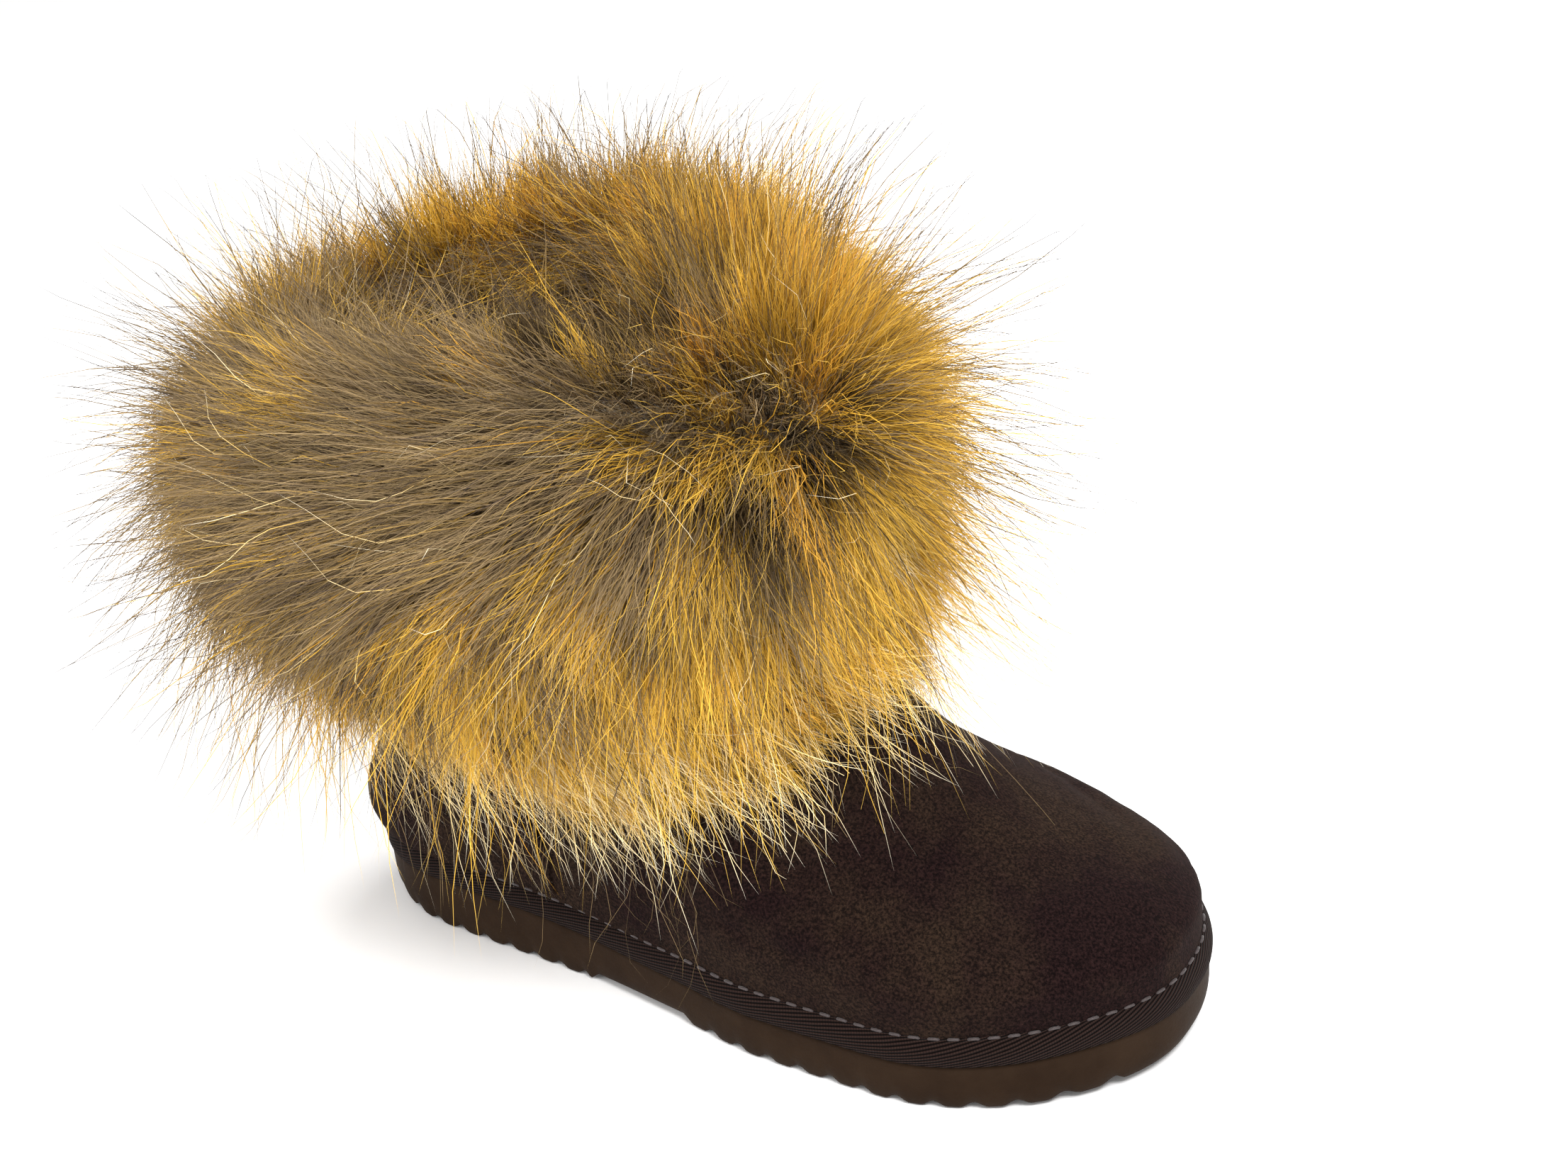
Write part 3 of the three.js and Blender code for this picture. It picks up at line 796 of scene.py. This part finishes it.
def stitchRun(name, path, outward, settings, closed=False):
    if closed:
        path, outward = np.vstack([path, path[:1]]), np.vstack([outward, outward[:1]])
    walked = np.concatenate([[0], np.cumsum(np.linalg.norm(np.diff(path, axis=0), axis=1))])
    count = int(walked[-1] / settings["pitch"])
    pitch = walked[-1] / count
    sides = settings["sides"]
    at, lift, thick = (np.array([row[name] for row in stitchRows]) for name in ("at", "lift", "thick"))
    spots = (np.arange(count)[:, None] + 0.5) * pitch + (at - 0.5) * settings["long"]
    centres = np.stack([np.interp(spots, walked, path[:, i]) for i in range(3)], -1)
    normals = unit(np.stack([np.interp(spots, walked, outward[:, i]) for i in range(3)], -1))
    centres = centres + normals * lift[:, None] * settings["dip"]
    tangent = unit(centres[:, 1:] - centres[:, :-1])
    tangent = np.concatenate([tangent, tangent[:, -1:]], 1)
    across = unit(np.cross(tangent, normals))
    angles = np.arange(sides) / sides * fullTurn
    ring = (
        across[:, :, None] * np.cos(angles)[None, None, :, None]
        + np.cross(across, tangent)[:, :, None] * np.sin(angles)[None, None, :, None]
    )
    points = centres[:, :, None] + ring * (thick * settings["radius"])[:, None, None]
    perStitch = len(stitchRows) * sides
    tube = tubeFaces(len(stitchRows), sides)
    faces = [tuple(n + k * perStitch for n in face) for k in range(count) for face in tube]
    mesh = bpy.data.meshes.new(name)
    mesh.from_pydata(points.reshape(-1, 3).tolist(), [], faces)
    mesh.polygons.foreach_set("use_smooth", np.ones(len(faces), bool))
    facesOut(mesh)
    addPiece(name, mesh, thread)


def addStitches():
    turn = np.linspace(0, fullTurn, 900, endpoint=False)
    path = bindingPoint(turn, np.full_like(turn, stitchAt))
    across = bindingPoint(turn, np.full_like(turn, stitchAt + 0.08))
    across = across - bindingPoint(turn, np.full_like(turn, stitchAt - 0.08))
    ahead = np.roll(path, -1, axis=0) - np.roll(path, 1, axis=0)
    outward = unit(np.cross(across, ahead))
    outward = outward * np.sign(outward[:, 2:])
    stitchRun("binding_stitches", path, outward, stitchSettings, closed=True)
    inset = counter["stitchInset"]
    halfWay = np.linspace(0, 1, 200)
    sideU = np.full(60, 1 - inset / counter["frontReach"] / 2)
    u = np.concatenate([1 - sideU, (1 - sideU[0]) + (2 * sideU[0] - 1) * halfWay, sideU])
    turnAt = (u * 2 - 1) * counter["halfTurn"]
    top = counterTopAt(turnAt)
    topV = (top - inset - counter["low"]) / (top - counter["low"])
    rise = np.linspace(0.02, 1, 60)
    v = np.concatenate([rise * topV[0], topV[60:260], rise[::-1] * topV[-1]])
    path = counterPoint(u, v, 0.5 * mm + counter["wall"])
    outward = unit(counterPoint(u, v, 3 * mm) - path)
    stitchRun("counter_stitches", path, outward, {**stitchSettings, "pitch": 4.2 * mm, "long": 2.8 * mm})


addStitches()
print("stitches made")


# Fur: the pelt is the cuff's thick base, and the hairs grow from it
cuff = {"depth": 56 * mm, "rise": 40 * mm, "drop": 92 * mm}
# Section of the cuff from its hem over its crest to the inside, and how it changes round the shaft
cuffRows = tableOf(("at", "up", "out"), [
    (0, 0.0, 0.08),
    (1, 0.02, 0.2),
    (2, 0.12, 0.42),
    (3, 0.28, 0.66),
    (4, 0.47, 0.88),
    (5, 0.66, 1.0),
    (6, 0.83, 0.88),
    (7, 0.95, 0.56),
    (8, 1.0, 0.18),
    (9, 0.96, -0.16),
    (10, 0.76, -0.38),
])
cuffTurns = tableOf(("around", "depth", "rise", "drop"), [
    (0.0, 0.8, 0.85, 0.92),
    (0.125, 0.88, 1.15, 0.95),
    (0.25, 0.96, 1.35, 0.95),
    (0.375, 1.02, 1.3, 0.85),
    (0.5, 1.06, 1.15, 0.72),
    (0.625, 1.08, 1.0, 0.86),
    (0.75, 1.0, 0.85, 1.0),
    (0.875, 0.84, 0.75, 0.96),
    (1.0, 0.8, 0.85, 0.92),
])


# The cuff's surface: a runs from its hem (0) over its crest (8) into the opening (10)
def cuffPoint(a, turn):
    around = np.mod(turn / fullTurn, 1)
    depth, rise, drop = (readRow(cuffTurns, name, around) for name in ("depth", "rise", "drop"))
    up = readRow(cuffRows, "up", a)
    out = readRow(cuffRows, "out", a)
    step = 0.01
    collar = upperPoint(1.0, turn)
    ahead = unit(upperPoint(1.0, turn + step) - upperPoint(1.0, turn - step))
    outward = np.stack([ahead[..., 1], -ahead[..., 0], 0 * turn], -1)
    facing = np.sign(np.sum(outward * (collar - [0.012, 0, 0.15]), -1, keepdims=True))
    outward = outward * facing
    hem = collar[..., 2] - cuff["drop"] * drop
    height = hem + (collar[..., 2] + cuff["rise"] * rise - hem) * up
    wall = upperPoint(levelAt(np.minimum(height, collar[..., 2] - 0.5 * mm), turn), turn)
    point = wall + outward * (cuff["depth"] * depth * out)[..., None]
    point[..., 2] = height
    return point


# The cuff's surface and its directions, worked out once on a grid and read from it after
cuffGrid = {"rows": 121, "columns": 360}


def makeCuffGrid(settings):
    a = np.linspace(0, 10, settings["rows"])[:, None]
    turn = (np.arange(settings["columns"]) / settings["columns"] * fullTurn)[None]
    a, turn = np.broadcast_arrays(a, turn)
    point = cuffPoint(a, turn)
    hemward = -unit(np.gradient(point, axis=0))
    wrapped = np.concatenate([point[:, -1:], point, point[:, :1]], 1)
    around = unit(wrapped[:, 2:] - wrapped[:, :-2])
    outward = unit(np.cross(around, hemward))
    sheet = np.cross(np.gradient(point, axis=0), wrapped[:, 2:] - wrapped[:, :-2])
    area = np.linalg.norm(sheet, axis=-1, keepdims=True)
    return {"point": point, "outward": outward, "hemward": hemward, "around": around, "area": area}


cuffSkin = makeCuffGrid(cuffGrid)


def onCuff(name, a, turn):
    field = cuffSkin[name]
    row = np.clip(np.asarray(a, float), 0, 10) / 10 * (field.shape[0] - 1)
    column = np.mod(np.asarray(turn, float) / fullTurn, 1) * field.shape[1]
    low = np.minimum(row.astype(int), field.shape[0] - 2)
    left = column.astype(int) % field.shape[1]
    right = (left + 1) % field.shape[1]
    s, q = (row - low)[..., None], (column - np.floor(column))[..., None]
    near = field[low, left] * (1 - q) + field[low, right] * q
    far = field[low + 1, left] * (1 - q) + field[low + 1, right] * q
    return near * (1 - s) + far * s


# Places where the coat differs: round the boot, up the cuff, how far that reaches, and what differs
coatZones = tableOf(("around", "a", "wide", "tall", "changes"), [
    # the upright tuft over the instep, and the golden flare and the hollow below it
    (0.43, 8.6, 0.1, 2.0, {"up": 1.6, "long": 0.35, "kinds": {"rust": 16, "gold": 12}}),
    (0.46, 3.6, 0.09, 2.6, {"out": 0.9, "long": 0.35, "kinds": {"gold": 12, "rust": 3}}),
    (0.41, 6.2, 0.09, 1.7, {"in": 15 * mm, "long": -0.15, "kinds": {"gold": 4}}),
    # back, far side and near side
    (0.96, 6.0, 0.08, 3.0, {"in": 4 * mm, "kinds": {"gold": 6, "black": 2}}),
    (0.26, 7.8, 0.2, 1.6, {"in": 7 * mm, "kinds": {"gold": 2, "black": 1}}),
    (0.67, 6.6, 0.16, 2.0, {"comb": 1.3, "soft": 0.7, "kinds": {"smoke": 4}}),
    (0.84, 8.0, 0.11, 2.4, {"comb": 0.8, "soft": 0.5, "kinds": {"smoke": 2}}),
    (0.72, 8.0, 0.12, 1.3, {"kinds": {"smoke": 3}}),
    (0.47, 5.0, 0.06, 2.0, {"comb": -0.8}),
    # the crease before the tuft, the whorl below it and the hollow of the opening, darkened with very dark
    # painted-shade hairs (the crease and the whorl are also sunk in)
    (0.575, 8.5, 0.045, 0.85, {"in": 12 * mm, "long": -0.4, "kinds": {"umber": 300}}),
    (0.535, 5.6, 0.035, 0.8, {"in": 4 * mm, "kinds": {"umber": 45}}),
    (0.14, 10.2, 0.15, 0.5, {"kinds": {"umber": 6}}),
    (0.7, 10.2, 0.3, 0.7, {"kinds": {"umber": 60}}),
])


def nearZone(zone, a, turn):
    around = np.mod(turn / fullTurn, 1)
    away = np.abs(np.mod(around - zone["around"] + 0.5, 1) - 0.5) / zone["wide"]
    return np.exp(-(away**2) - ((a - zone["a"]) / zone["tall"]) ** 2)


# What the zones add up to, for a setting that some of them have
def zoneSum(a, turn, name):
    total = np.zeros_like(a)
    for zone in coatZones:
        if name in zone["changes"]:
            total = total + zone["changes"][name] * nearZone(zone, a, turn)
    return total


# How far the pelt lies inside the cuff's surface
peltDepth = tableOf(("a", "in"), [
    (0.0, 1.5 * mm),
    (1.0, 4 * mm),
    (2.0, 8 * mm),
    (4.0, 13 * mm),
    (7.0, 12 * mm),
    (8.5, 8 * mm),
    (10.0, 4 * mm),
])


def peltPoint(a, turn):
    outward = unit(onCuff("outward", a, turn))
    depth = readRow(peltDepth, "in", a) + zoneSum(a, turn, "in")
    point = onCuff("point", a, turn) - outward * depth[..., None]
    lumps = 1.8 * mm * waves(point, 32 * mm, 21) * np.clip(a, 0, 1)
    return point + outward * lumps[..., None]


def addPelt():
    columns, rows = 160, 50
    outerShare = 0.8  # the rest of the grid's rows lie along the upper's wall

    def place(u, v):
        turn = u * fullTurn
        a = np.clip(v / outerShare, 0, 1) * 10
        outer = peltPoint(a, turn)
        back = np.clip((v - outerShare) / (1 - outerShare), 0, 1)
        first, last = peltPoint(0 * a, turn), peltPoint(0 * a + 10, turn)
        hem, brim = first[..., 2], 0.985 * upperPoint(1.0, turn)[..., 2]
        wallLevel = levelAt(hem + (brim - hem) * (1 - back), turn)
        inner = offUpper(wallLevel, turn, 0 * a + 0.4 * mm)
        ends = np.clip(back / 0.12, 0, 1)[..., None]
        closing = np.clip((back - 0.88) / 0.12, 0, 1)[..., None]
        inner = last * (1 - ends) + inner * ends
        inner = inner * (1 - closing) + first * closing
        return np.where((v > outerShare)[..., None], inner, outer)

    mesh = bentGrid("under_fur", columns, rows, place)
    facesOut(mesh)
    addPiece("under_fur", mesh, pelt, ["fur_cuff"])


addPelt()
print("pelt made")

# Hairs. A coat has its hairs' number, random seed and points each, its share of the usual length and
# width, how loose, gathered and curled it is, its share of pale or black hairs, the least length, and
# the places up the cuff below which they are pale and above which none grow.
furSettings = {"guides": 1500, "pieceSize": 26000, "width": 0.3 * mm, "likeLock": 0.72, "darkFrom": 4.4}
kindNames = list(hairKinds)
furTop = 9.9
coatColumns = ("name", "count", "seed", "stations", "longer", "thin", "loose", "clump", "curl", "tips")
coats = tableOf((*coatColumns, "least", "pale", "hem"), [
    ("under_coat", 82000, 11, 4, 0.8, 0.78, 0.4, 0.55, 2.2 * mm, 0.0, 0, 3.4, furTop),
    ("guard_hair", 29000, 12, 6, 1.05, 0.65, 0.22, 0.42, 3 * mm, 0.35, 12 * mm, 3.4, furTop),
    ("long_hair", 9000, 13, 6, 2.0, 0.74, 0.45, 0.1, 2.6 * mm, 1.0, 33 * mm, 3.4, furTop),
    ("crossing_hair", 900, 15, 8, 1.5, 0.62, 0.9, 0, 6 * mm, 0.7, 40 * mm, 9, furTop),
    ("hanging_hair", 260, 14, 8, 1, 0.45, 0.3, 0, 5 * mm, 0, 62 * mm, 3.4, 1.6),
])

# Down the cuff from hem to inner lip: hair length, share of each kind and how far hairs hang
hairRows = tableOf(("a", "length", *kindNames, "fall"), [
    # the last kind column, before fall, is the share of very dark hairs that are painted shade
    (0.0, 8 * mm, 0.03, 0.63, 0.18, 0.16, 0.0, 0.01, 0.5),
    (1.0, 12 * mm, 0.04, 0.68, 0.2, 0.08, 0.0, 0.01, 0.5),
    (2.2, 23 * mm, 0.06, 0.74, 0.18, 0.02, 0.0, 0.01, 0.35),
    (3.6, 36 * mm, 0.14, 0.7, 0.14, 0.01, 0.0, 0.01, 0.15),
    (4.5, 37 * mm, 0.46, 0.44, 0.08, 0.01, 0.0, 0.01, 0.08),
    (5.5, 37 * mm, 0.72, 0.2, 0.05, 0.0, 0.01, 0.02, 0.03),
    (6.8, 35 * mm, 0.64, 0.24, 0.08, 0.0, 0.02, 0.02, 0.0),
    (8.0, 32 * mm, 0.52, 0.32, 0.1, 0.0, 0.04, 0.02, 0.0),
    (10.0, 27 * mm, 0.52, 0.32, 0.12, 0.0, 0.02, 0.02, 0.0),
])

# How a hair leaves the skin and where its tip heads: shares of outward and hemward
layRows = tableOf(("a", "outFirst", "downFirst", "outLast", "downLast"), [
    (0.0, 0.5, 0.8, 0.0, 1.0),
    (3.0, 0.7, 0.7, 0.12, 1.0),
    (5.0, 0.8, 0.6, 0.2, 0.95),
    (7.0, 0.95, 0.3, 0.6, 0.75),
    (8.5, 1.0, 0.05, 0.9, 0.35),
    (10.0, 1.0, -0.3, 0.9, -0.2),
])
furBox = {
    "low": (cadBox[0][0] - 17 * mm, cadBox[0][1] - 15 * mm, 0.002),
    "high": (cadBox[1][0], cadBox[1][1] + 12 * mm, cadBox[1][2] + 15.8 * mm),
}


# Roots spread evenly over the cuff's skin
def scatterRoots(count, rng, low=0.15, high=furTop):
    tries = count * 4
    a = rng.uniform(low, high, tries)
    turn = rng.uniform(0, fullTurn, tries)
    area = onCuff("area", a, turn)[..., 0]
    kept = rng.uniform(0, 1, tries) < area / np.quantile(area, 0.97)
    return a[kept][:count], turn[kept][:count]


# Wandering direction of the coat, so that locks swirl and part: wide waves and narrow ones
def coatSwirl(point):
    swirl = np.stack([waves(point, 70 * mm, seed, 7) for seed in (3, 4, 6)], -1)
    fine = np.stack([waves(point, 24 * mm, seed, 7) for seed in (7, 8, 9)], -1)
    return 0.3 * swirl + 0.22 * fine


# Paths of hairs from their roots on the pelt, bent from the first heading to the last
def hairPaths(a, turn, length, rng, stations, loose):
    root = peltPoint(a, turn)
    outward, hemward = unit(onCuff("outward", a, turn)), unit(onCuff("hemward", a, turn))
    lay = {name: readLine(layRows, name, a)[:, None] for name in layRows[0]}
    fall = readLine(hairRows, "fall", a)[:, None]
    swirl = coatSwirl(root)
    first = outward * lay["outFirst"] + hemward * lay["downFirst"]
    last = outward * lay["outLast"] + hemward * lay["downLast"]
    last = last * (1 - fall) + (np.array([0, 0, -1.0]) + 0.15 * outward) * fall
    last = last + outward * zoneSum(a, turn, "out")[:, None]
    lift = np.array([0, 0, 1.0]) * zoneSum(a, turn, "up")[:, None]
    lift = lift + unit(onCuff("around", a, turn)) * zoneSum(a, turn, "comb")[:, None]
    first = unit(first + 0.4 * swirl + 0.7 * lift + loose * 0.5 * rng.normal(size=root.shape))
    last = unit(last + 1.1 * swirl + 1.4 * lift + loose * rng.normal(size=root.shape))
    length = length * (1 + zoneSum(a, turn, "long"))
    s = np.linspace(0, 1, stations)[None, :, None]
    bend = first[:, None] * s + (last - first)[:, None] * s**2 / 2
    return root[:, None] + bend * length[:, None, None], outward


# Kind of each hair, drawn by the shares of its place, its zones and a patchwork
def kindOf(a, turn, point, draw):
    shares = np.stack([readLine(hairRows, name, a) for name in kindNames], -1)
    for zone in coatZones:
        for name, gain in zone["changes"].get("kinds", {}).items():
            shares[:, kindNames.index(name)] *= 1 + gain * nearZone(zone, a, turn)
    patch = np.stack([waves(point, 34 * mm, 40 + i, 7) for i in range(len(kindNames))], -1)
    shares = shares * np.exp(1.5 * patch * np.clip(a / 5, 0.3, 1)[:, None])
    shares = np.cumsum(shares, -1) / shares.sum(-1, keepdims=True)
    return (draw[:, None] > shares).sum(-1).clip(0, len(kindNames) - 1)


# Ribbons along the paths: two edges at each station and one point at the tip
def ribbonMesh(name, paths, side, widths, tints):
    count, stations = paths.shape[:2]
    taper = np.interp(np.linspace(0, 1, stations), [0, 0.3, 0.6, 0.85, 1], [0.75, 1, 0.85, 0.55, 0])
    half = side[:, None] * (widths[:, None] * taper[None] / 2)[..., None]
    verts = np.concatenate([(paths - half)[:, :-1], (paths + half)[:, :-1], paths[:, -1:]], 1)
    perHair = verts.shape[1]
    last = stations - 1
    quads = [(i, last + i, last + i + 1, i + 1) for i in range(last - 1)]
    corners = np.concatenate([*quads, (last - 1, 2 * last - 1, 2 * last)])
    loops = (corners + (np.arange(count) * perHair)[:, None]).ravel()
    sizes = np.tile([4] * (last - 1) + [3], count)
    uv = np.empty((count, perHair, 2))
    uv[..., 0] = tints[:, None] + np.repeat([-0.002, 0.002, 0], [last, last, 1])
    uv[..., 1] = np.append(np.tile(np.arange(last) / last, 2), 1) * 0.98 + 0.01
    mesh = bpy.data.meshes.new(name)
    mesh.vertices.add(count * perHair)
    mesh.vertices.foreach_set("co", verts.astype(np.float32).ravel())
    mesh.loops.add(len(loops))
    mesh.loops.foreach_set("vertex_index", loops.astype(np.int32))
    mesh.polygons.add(len(sizes))
    mesh.polygons.foreach_set("loop_start", (np.cumsum(sizes) - sizes).astype(np.int32))
    mesh.polygons.foreach_set("use_smooth", np.ones(len(sizes), bool))
    layer = mesh.uv_layers.new(name="OFBake")
    layer.data.foreach_set("uv", uv.reshape(-1, 2)[loops].astype(np.float32).ravel())
    mesh.update()
    mesh.validate()
    return mesh


# Bends what would pass the box's sides back into it
def keepInBox(paths):
    low, high = np.array(furBox["low"]), np.array(furBox["high"])
    softness = 8 * mm
    over = np.maximum(0, paths - (high - softness))
    under = np.maximum(0, (low + softness) - paths)
    return paths - over + softness * np.tanh(over / softness) + under - softness * np.tanh(under / softness)


# Guides: the hairs that locks gather to
def makeGuides(settings):
    a, turn = scatterRoots(settings["guides"], np.random.default_rng(5))
    length = readLine(hairRows, "length", a)
    length = length * np.random.default_rng(6).uniform(0.85, 1.2, len(a))
    tree = KDTree(len(a))
    for i, spot in enumerate(peltPoint(a, turn)):
        tree.insert(spot, i)
    tree.balance()
    draw = np.random.default_rng(8).uniform(0, 1, len(a))
    return {"a": a, "turn": turn, "length": length, "tree": tree, "draw": draw}


# Each hair leans to its lock's guide towards its tip, and curls
def gatherToLock(paths, lead, a, turn, length, coat, rng):
    s = np.linspace(0, 1, coat["stations"])[None, :, None]
    gather = coat["clump"] * (1.45 - 0.11 * np.clip(a, 0, 6)) * (1 - zoneSum(a, turn, "soft"))
    pull = (gather * rng.uniform(0.4, 1.0, len(a)))[:, None, None].clip(0, 0.92) * s**0.8
    span = np.linalg.norm(lead[:, -1] - lead[:, 0], axis=-1)
    reach = (length / span).clip(0.5, 1.2)[:, None, None]
    lead = lead[:, :1] + (lead - lead[:, :1]) * reach
    paths = paths * (1 - pull) + lead * pull
    curl = np.sin(s * rng.uniform(2.5, 7, (len(a), 1, 3)) + rng.uniform(0, fullTurn, (len(a), 1, 3)))
    start = np.sin(rng.uniform(0, fullTurn, (len(a), 1, 3)))
    return keepInBox(paths + coat["curl"] * s * (curl - 0.3 * start))


# Place of each hair on the colour map: mostly its lock's kind, with pale or black hairs between
def tintHairs(a, roots, lock, coat, settings, rng):
    own = rng.uniform(0, 1, len(a))
    draw = np.where(rng.uniform(0, 1, len(a)) < settings["likeLock"], lock["draw"], own)
    kind = kindOf(lock["a"], lock["turn"], lock["root"], draw)
    pale = (a < coat["pale"]) & (rng.uniform(0, 1, len(a)) < coat["tips"])
    dark = (a > settings["darkFrom"]) & (rng.uniform(0, 1, len(a)) < coat["tips"] * 0.7)
    kind = np.where(dark, kindNames.index("black"), kind)
    kind = np.where(pale, kindNames.index("cream"), kind)
    kind = np.where(coat["hem"] < furTop, kindNames.index("smoke"), kind)
    lockShade = np.mod(lock["draw"] * 7.3, 1)
    patchShade = np.clip(0.5 + 0.6 * waves(roots, 16 * mm, 51), 0, 1)
    shade = 0.36 * lockShade + 0.3 * patchShade + 0.34 * rng.uniform(0, 1, len(a))
    return (kind + 0.04 + 0.92 * shade) / len(kindNames)


def addCoat(coat, guides, settings):
    rng = np.random.default_rng(coat["seed"])
    count = coat["count"] // 1
    steer = np.random.default_rng(9)
    guideLength = guides["length"] * coat["longer"]
    guidePaths, _ = hairPaths(guides["a"], guides["turn"], guideLength, steer, coat["stations"], 0.16)
    a, turn = scatterRoots(count, rng, high=coat["hem"])
    length = readLine(hairRows, "length", a)
    length = np.maximum(length * coat["longer"], coat["least"]) * rng.uniform(0.6, 1.1, len(a))
    paths, outward = hairPaths(a, turn, length, rng, coat["stations"], coat["loose"])
    nearest = np.array([guides["tree"].find(spot)[1] for spot in paths[:, 0]])
    lead = guidePaths[nearest]
    lock = {name: guides[name][nearest] for name in ("a", "turn", "draw")}
    lock["root"] = lead[:, 0]
    paths = gatherToLock(paths, lead, a, turn, length, coat, rng)
    tangent = unit(paths[:, 2] - paths[:, 0])
    side = unit(np.cross(tangent, outward + 0.5 * rng.normal(size=outward.shape)))
    tints = tintHairs(a, paths[:, 0], lock, coat, settings, rng)
    widths = settings["width"] * coat["thin"] * rng.uniform(0.75, 1.25, len(a))
    order = rng.permutation(len(a))
    parts = int(np.ceil(len(a) / settings["pieceSize"]))
    for i, part in enumerate(np.array_split(order, parts)):
        name = f"{coat['name']}_{i + 1}"
        mesh = ribbonMesh(name, paths[part], side[part], widths[part], tints[part])
        addPiece(name, mesh, hair)


guides = makeGuides(furSettings)
for coat in coats:
    addCoat(coat, guides, furSettings)
print("fur made")

# Stray hairs that lie on the suede
strays = {
    "count": 16,
    "seed": 31,
    "long": 13 * mm,
    "curl": 2.2 * mm,
    "width": 0.26 * mm,
    "stations": 9,
    "lift": 0.45 * mm,
    "perLevel": 140 * mm,  # the upper's length for a v of 1, and for one radian round it
    "perTurn": 75 * mm,
}


def addStrays(settings):
    rng = np.random.default_rng(settings["seed"])
    count, stations = settings["count"], settings["stations"]
    s = np.linspace(0, 1, stations)[None]
    v = rng.uniform(0.12, 0.42, count)[:, None]
    turn = rng.uniform(3.2, 4.6, count)[:, None]
    heading = rng.uniform(0, fullTurn, count)[:, None]
    reach = settings["long"] * rng.uniform(0.5, 1.3, count)[:, None]
    wave = np.sin(s * rng.uniform(3, 8, count)[:, None] + heading) * settings["curl"]
    along = reach * s
    v = v + (along * np.cos(heading) - wave * np.sin(heading)) / settings["perLevel"]
    turn = turn + (along * np.sin(heading) + wave * np.cos(heading)) / settings["perTurn"]
    paths = offUpper(v, turn, suedeRelief(v, turn) + settings["lift"])
    normal = upperNormal(v[:, 4], turn[:, 4])
    side = unit(np.cross(paths[:, 5] - paths[:, 3], normal))
    tints = np.full(count, (kindNames.index("cream") + 0.2) / len(kindNames))
    mesh = ribbonMesh("stray_hairs", paths, side, np.full(count, settings["width"]), tints)
    addPiece("stray_hairs", mesh, hair)


addStrays(strays)
print("stray hairs made")


# Stage: a pale floor, a bright room and soft lamps
def addStage():
    floor = bentGrid("floor", 1, 1, lambda u, v: np.stack([u * 60 - 30, v * 60 - 30, 0 * u - 0.0002], -1))
    floor.materials.append(newMaterial("floor", (0.96, 0.96, 0.962), 0.8)[0])
    addObject("floor", floor)
    world = bpy.data.worlds.new("room")
    world.use_nodes = True
    sky = world.node_tree.nodes["Background"]
    sky.inputs["Color"].default_value = (1.0, 0.99, 0.98, 1)
    sky.inputs["Strength"].default_value = 1.0
    bpy.context.scene.world = world
    bpy.context.scene.view_settings.view_transform = "Standard"


lamps = tableOf(("name", "place", "aim", "power", "size"), [
    ("key", (0.7, -0.5, 1.1), (0.03, 0, 0.1), 16, 0.35),
    ("side", (-0.6, -0.9, 0.7), (0.03, 0, 0.1), 4.5, 0.8),
    ("rear", (-0.1, 0.9, 0.9), (0.03, 0, 0.12), 10, 0.6),
])


def addLamp(settings):
    data = bpy.data.lights.new(settings["name"], "AREA")
    data.energy = settings["power"]
    data.size = settings["size"]
    lamp = addObject(settings["name"], data)
    lamp.location = settings["place"]
    aim = Vector(settings["aim"]) - Vector(settings["place"])
    lamp.rotation_euler = aim.to_track_quat("-Z", "Y").to_euler()


addStage()
for lamp in lamps:
    addLamp(lamp)
print("stage lit")
